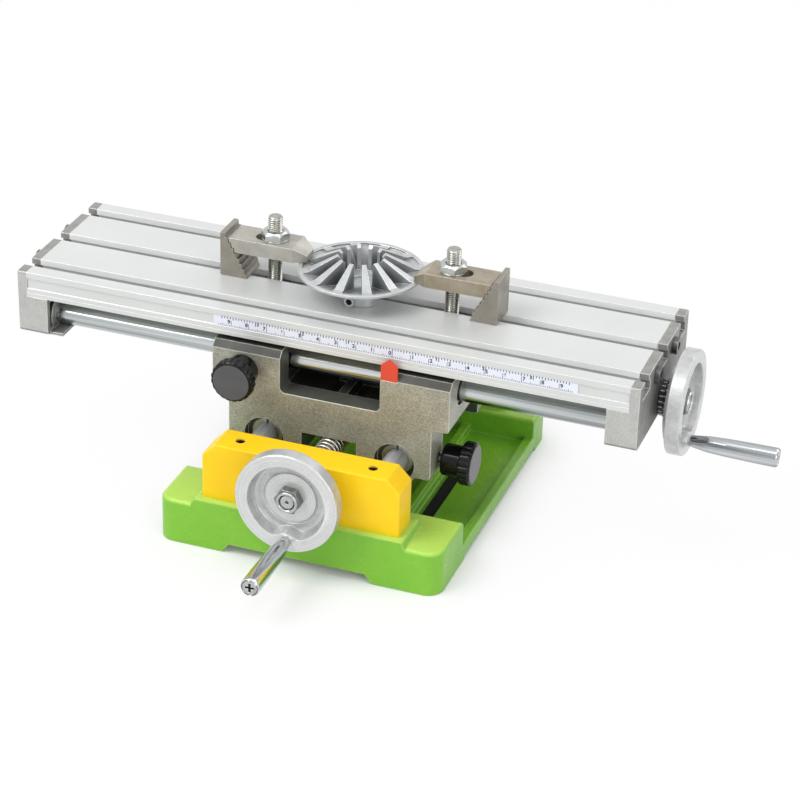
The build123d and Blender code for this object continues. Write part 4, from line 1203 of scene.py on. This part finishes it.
@dataclass
class DiscLug:
    """The lug on the finned disc's hub, with the snout of its set screw. Sizes in millimetres."""

    centre: Point = (-2.9, 4.0, 115.4)
    lean_x: float = 4.6
    lean_y: float = -9.2
    height: float = 6.0
    radius: float = 8.8
    snout_x: float = -2.4
    snout_radius: float = 2.8
    snout_length: float = 8.0
    snout_far: float = 19.8

    def lug(self) -> Piece:
        """Builds the lug.

        It is a cylinder whose front half is moved forward: a point moves by the lean where it lies on the side
        that the lean points to, which leaves a long rounded outline.

        Returns:
            The lug.
        """
        outline = [(0.05, 0.0), (self.radius, 0.0), (self.radius, self.height), (0.05, self.height)]
        grid = turned(rounded(outline, 0.6, 0.8), 96)
        ahead = grid[..., 0] * self.lean_x + grid[..., 1] * self.lean_y > 0
        grid[..., 0] += self.lean_x * MM * ahead
        grid[..., 1] += self.lean_y * MM * ahead
        return skin("disc_lug", grid + np.array(self.centre) * MM)

    def build(self) -> None:
        """Builds the lug, its snout and a dark plug in it that paints the hole's shade, and puts them on the
        table.
        """
        install(self.lug(), "table", DISC_CAST, "wheel_aluminium")
        seat = Seat((self.snout_x, self.centre[1], self.centre[2] + self.snout_radius + 0.1), (0.0, -1.0, 0.0))
        r, near, far = self.snout_radius, self.snout_far - self.snout_length, self.snout_far
        tube = turned(rounded([(0.6 * r, near), (r, near), (r, far), (0.6 * r, far)], 0.3, 0.5, True), 48)
        install(skin("disc_snout", seat.put(tube), ring=True), "table", DISC_CAST, "wheel_aluminium")
        # a dark plug in the snout: painted shade of its hole
        hole_shade_plug = turned(eased([(0.05, near), (0.64 * r, near), (0.64 * r, far - 1.2), (0.05, far - 1.2)], 0.1), 32)
        install(skin("disc_snout_hole_shade", seat.put(hole_shade_plug)), "table", DARK_SCREWS_AND_HOLE_SHADE, "wheel_aluminium")


@dataclass
class PlateFoot:
    """The two solid strips that close the slotted plate's lower front and back edges. Sizes in millimetres."""

    left: float = -176.5
    right: float = 159.5
    front: float = -44.0
    back: float = 52.0
    depth: float = 4.3
    foot: float = 101.0
    height: float = 2.38

    def build(self) -> None:
        """Builds both strips as boxes, one along each long side."""
        low = np.array([[self.left, self.front, self.foot], [self.left, self.back - self.depth, self.foot]])
        high = np.array([[self.right, self.front + self.depth, self.foot + self.height],
                         [self.right, self.back, self.foot + self.height]])
        install(slabs("plate_foot_strips", low * MM, high * MM), "table", PLATE_ALUMINIUM, "plate_aluminium")


@dataclass
class ScalePrint:
    """The marks and figures printed on the strip. Sizes in millimetres."""

    zero_x: float = 32.5
    face_y: float = -43.8
    foot_z: float = 106.0
    height: float = 5.8
    margin: float = 0.15
    ink: float = 0.03
    inch: float = 25.4
    millimetres: int = 97
    sixteenths: int = 60
    figure_shift: float = 1.3

    def ticks(self) -> Piece:
        """Builds the ticks as thin boxes: millimetres along the foot, sixteenths of an inch along the top.

        A tick's length goes by its number: each fifth and tenth millimetre is longer, and so is each fourth
        and sixteenth of an inch.

        Returns:
            All the ticks as one piece.
        """
        mm = np.arange(-self.millimetres, self.millimetres + 1)
        tall = np.where(mm % 10 == 0, 3.6, np.where(mm % 5 == 0, 1.5, 0.9))
        part = np.arange(-self.sixteenths, self.sixteenths + 1)
        deep = np.where(part % 16 == 0, 2.6, np.where(part % 4 == 0, 1.5, 1.1))
        foot, top = self.foot_z + self.margin, self.foot_z + self.height - self.margin
        x = np.concatenate([self.zero_x + mm, self.zero_x + part * self.inch / 16])
        wide = np.concatenate([np.full(len(mm), 0.13), np.full(len(part), 0.2)])
        low_z = np.concatenate([np.full(len(mm), foot), top - deep])
        high_z = np.concatenate([foot + tall, np.full(len(part), top)])
        low = np.stack([x - wide, np.full(len(x), self.face_y - self.ink), low_z], -1)
        high = np.stack([x + wide, np.full(len(x), self.face_y), high_z], -1)
        return slabs("scale_ticks", low * MM, high * MM)

    def figures(self) -> Piece:
        """Sets the centimetre figures below and the inch figures above as one thin mesh, standing on the face.

        A centimetre figure stands on the far side of its mark, seen from the zero, and an inch figure on the near
        side.

        Returns:
            All the figures as one piece.
        """
        shift = self.figure_shift
        words = [(str(abs(n)), self.zero_x + 10 * n + (shift if n > 0 else -shift), self.foot_z + 1.8, 2.4)
                 for n in range(-9, 10)]
        words += [(str(abs(n)), self.zero_x + self.inch * n - math.copysign(shift, n), self.foot_z + 3.4, 2.1)
                  for n in (-3, -2, -1, 1, 2, 3)]
        upright = Matrix.Rotation(math.pi / 2, 4, "X")
        whole = bmesh.new()
        for text, x, z, size in words:
            curve = bpy.data.curves.new("figure", "FONT")
            curve.body, curve.size, curve.align_x = text, size * MM * 1.25, "CENTER"
            curve.extrude, curve.offset = self.ink * MM / 2, 0.1 * MM
            letter = bpy.data.objects.new("figure", curve)
            mesh = bpy.data.meshes.new_from_object(letter)
            mesh.transform(Matrix.Translation(Vector((x, self.face_y - self.ink / 2, z)) * MM) @ upright)
            whole.from_mesh(mesh)
            bpy.data.objects.remove(letter)
        bmesh.ops.remove_doubles(whole, verts=whole.verts, dist=1e-7)
        mesh = bpy.data.meshes.new("scale_figures")
        whole.to_mesh(mesh)
        whole.free()
        return in_scene(bpy.data.objects.new("scale_figures", mesh))

    def build(self) -> None:
        """Builds the print and puts it on the table."""
        install(self.ticks(), "table", PRINT_INK, "strip_white")
        install(self.figures(), "table", PRINT_INK, "strip_white")


@dataclass
class Castings:
    """The CAD nodes whose shape stays, each with its finish."""

    finishes: dict[str, Finish] = field(default_factory=lambda: {
        "base_casting": GREEN_PAINT, "front_block": YELLOW_PAINT, "rear_block": YELLOW_PAINT,
        "y_guide_rods": GROUND_STEEL_Y_PAINTED_LIGHT, "block_grub_screws": DARK_SCREWS_AND_HOLE_SHADE, "block_bolts": ZINC,
        "saddle_casting": SADDLE_IRON, "rod_bushes": BUSH_STEEL, "x_nut": BRONZE, "y_nut": BRONZE,
        "pointer": POINTER_RED, "table_plate": PLATE_ALUMINIUM, "scale_strip": STRIP_WHITE,
        "left_bracket": BRACKET_CAST, "right_bracket": BRACKET_CAST, "x_guide_rods": GROUND_STEEL_X_STREAKS_AND_REFLECTIONS,
        "bracket_screws": SCREW_DULL, "finned_disc": DISC_CAST, "disc_set_screw": DARK_SCREWS_AND_HOLE_SHADE,
    })

    def build(self) -> None:
        """Dresses each of the nodes."""
        for name, finish in self.finishes.items():
            finish.dress(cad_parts[name])


@dataclass(frozen=True)
class Lamp:
    """A square soft lamp that points at the table's middle."""

    name: str
    place: Point
    size: float
    power: float
    target: Point = (0.0, 0.0, 0.08)

    def build(self) -> None:
        """Adds the lamp to the scene."""
        data = bpy.data.lights.new(self.name, "AREA")
        data.size, data.energy = self.size, self.power
        lamp = in_scene(bpy.data.objects.new(self.name, data))
        lamp.location = self.place
        lamp.rotation_euler = (Vector(self.place) - Vector(self.target)).to_track_quat("Z", "Y").to_euler()


@dataclass
class Studio:
    """A pale floor, soft lamps and the camera at the photograph's place."""

    camera_place: Point = (0.4383, -1.2049, 0.7557)
    azimuth: float = 19.041
    elevation: float = 28.727
    roll: float = 1.761
    lens: float = 121.3
    sensor: float = 36.0
    floor_half: float = 4.0
    floor_drop: float = 0.0002
    floor_colour: Colour = (0.86, 0.86, 0.86)
    # the floor under the slots gets a near black painted shadow
    slot_shadow_colour: Colour = (0.02, 0.02, 0.02)
    slot_x: float = 0.0489
    slot_half_width: float = 0.013
    slot_y: float = 0.002
    slot_half_length: float = 0.07
    shadow_reach: float = 0.07
    sky_strength: float = 0.55
    lamps: tuple[Lamp, ...] = (Lamp("key", (-0.9, -0.8, 1.5), 1.1, 22.0), Lamp("fill", (1.3, -1.0, 0.7), 1.0, 7.0),
                               Lamp("top", (0.35, -0.35, 1.6), 0.9, 3.5), Lamp("back", (0.8, 1.2, 1.5), 1.1, 7.0))

    def camera(self) -> None:
        """Sets up the camera from its bearing, its height angle and its roll."""
        a, e, r = (math.radians(v) for v in (self.azimuth, self.elevation, self.roll))
        back = Vector((math.sin(a) * math.cos(e), -math.cos(a) * math.cos(e), math.sin(e)))
        right = Vector((math.cos(a), math.sin(a), 0.0))
        up = back.cross(right)
        side, top = right * math.cos(r) + up * math.sin(r), up * math.cos(r) - right * math.sin(r)
        data = bpy.data.cameras.new("camera")
        data.lens, data.sensor_width, data.clip_start = self.lens, self.sensor, 0.05
        camera = in_scene(bpy.data.objects.new("camera", data))
        turn = Matrix((side, top, back)).transposed().to_4x4()
        camera.matrix_world = Matrix.Translation(self.camera_place) @ turn
        bpy.context.scene.camera = camera

    def painted_slot_shadow(self, sheet: NodeSheet) -> Socket:
        """Finds the parts of the floor that are only seen through the base's long slots, which get a painted
        shadow.

        Args:
            sheet: the floor material's nodes.

        Returns:
            1 on those parts and 0 elsewhere.
        """
        axes = sheet.axes()
        across = sheet.near(sheet.reckon("ABSOLUTE", axes["X"]), self.slot_x, self.slot_half_width)
        return sheet.product(across, sheet.near(axes["Y"], self.slot_y, self.slot_half_length))

    def seen_white(self, sheet: NodeSheet, slot_shadow: Socket) -> Socket:
        """Blends a surface with pure white where the camera sees it, directly or in metal and glass.

        The share of the white falls where the object closes off the sky, so that the shadow stays.

        Args:
            sheet: the floor material's nodes.
            slot_shadow: 1 on the painted shadow under the slots, which never turns white.

        Returns:
            The blended shader.
        """
        white = sheet.add("ShaderNodeEmission", {"Color": WHITE}).outputs[0]
        open_sky = sheet.add("ShaderNodeAmbientOcclusion", {"Distance": self.shadow_reach}).outputs["AO"]
        share = sheet.product(sheet.span(open_sky, 0.35, 0.95, 0.1, 0.96), sheet.span(slot_shadow, 0.0, 1.0, 1.0, 0.0))
        inputs = {"Fac": sheet.product(sheet.in_sight(), share), 1: sheet.shader.outputs[0], 2: white}
        return sheet.add("ShaderNodeMixShader", inputs).outputs[0]

    def floor(self) -> None:
        """Lays the floor, which keeps a faint shadow of the object, and a painted dark shadow where it is seen
        through the base's slots.
        """
        mesh = bpy.data.meshes.new("floor")
        half = self.floor_half
        corners = [(-half, -half, 0), (half, -half, 0), (half, half, 0), (-half, half, 0)]
        mesh.from_pydata(corners, [], [(0, 1, 2, 3)])
        floor = in_scene(bpy.data.objects.new("floor", mesh))
        floor.location = (0.0, 0.0, -self.floor_drop)
        material = bpy.data.materials.new("studio_floor")
        sheet = NodeSheet(material, "Principled BSDF")
        # painted shadow on the floor seen through the slots
        slot_shadow = self.painted_slot_shadow(sheet)
        colour = sheet.blend(slot_shadow, self.floor_colour, self.slot_shadow_colour)
        sheet.fill(sheet.shader, {"Base Color": colour, "Roughness": 0.9})
        sheet.fill(sheet.tree.nodes["Material Output"], {"Surface": self.seen_white(sheet, slot_shadow)})
        mesh.materials.append(material)

    def sky(self) -> None:
        """Lights the scene evenly, and shows white behind it."""
        world = bpy.data.worlds.new("studio_world")
        bpy.context.scene.world = world
        sheet = NodeSheet(world, "Background")
        strength = sheet.span(sheet.in_sight(), 0.0, 1.0, self.sky_strength, 1.0)
        sheet.fill(sheet.shader, {"Color": WHITE, "Strength": strength})

    def build(self) -> None:
        """Builds the camera, the floor, the sky and the lamps."""
        self.camera()
        self.floor()
        self.sky()
        for lamp in self.lamps:
            lamp.build()
        bpy.context.scene.view_settings.view_transform = "Standard"


def main() -> None:
    """Builds the studio and every sub-assembly in order."""
    logging.basicConfig(level=logging.INFO, format="%(name)s: %(message)s")
    long_drive = Drive(Way.LONG, Seat((181.5, 4.0, 87.0), (1.0, 0.0, 0.0)), reach=16.6, screw_start=-345.6,
                       screw_end=-33.3, tail_end=-362.4, nut_turn=10.0, finish=WHEEL_CAST_X,
                       grip_finish=GRIP_CHROME_X_PAINTED_REFLECTIONS)
    cross_drive = Drive(Way.CROSS, Seat((0.0, -109.0, 46.8), (0.0, -1.0, 0.0)), reach=19.4, screw_start=-186.3,
                        screw_end=-38.3, tail_end=-197.6, nut_turn=26.0, finish=WHEEL_CAST_Y,
                        grip_finish=GRIP_CHROME_Y_PAINTED_REFLECTIONS)
    front_lock = LockKnob("front_lock", Seat((-47.5, -48.3, 87.0), (0.0, -1.0, 0.0)))
    side_lock = LockKnob("side_lock", Seat((57.0, -33.5, 46.8), (1.0, 0.0, 0.0)), stud_depth=11.9)
    left_clamp = WorkClamp("left", -52.0, nut_turn=39.5, strap_finish=CLAMP_STEEL, stud_top=151.0)
    right_clamp = WorkClamp("right", 48.5, nut_turn=-39.5, strap_finish=CLAMP_BROWN, stud_top=150.6)
    for assembly in (Studio(), Castings(), PlateFoot(), DiscLug(), CrossSpring(), ScalePrint(), long_drive,
                     cross_drive, front_lock, side_lock, left_clamp, right_clamp):
        assembly.build()


if __name__ == "__main__":
    main()
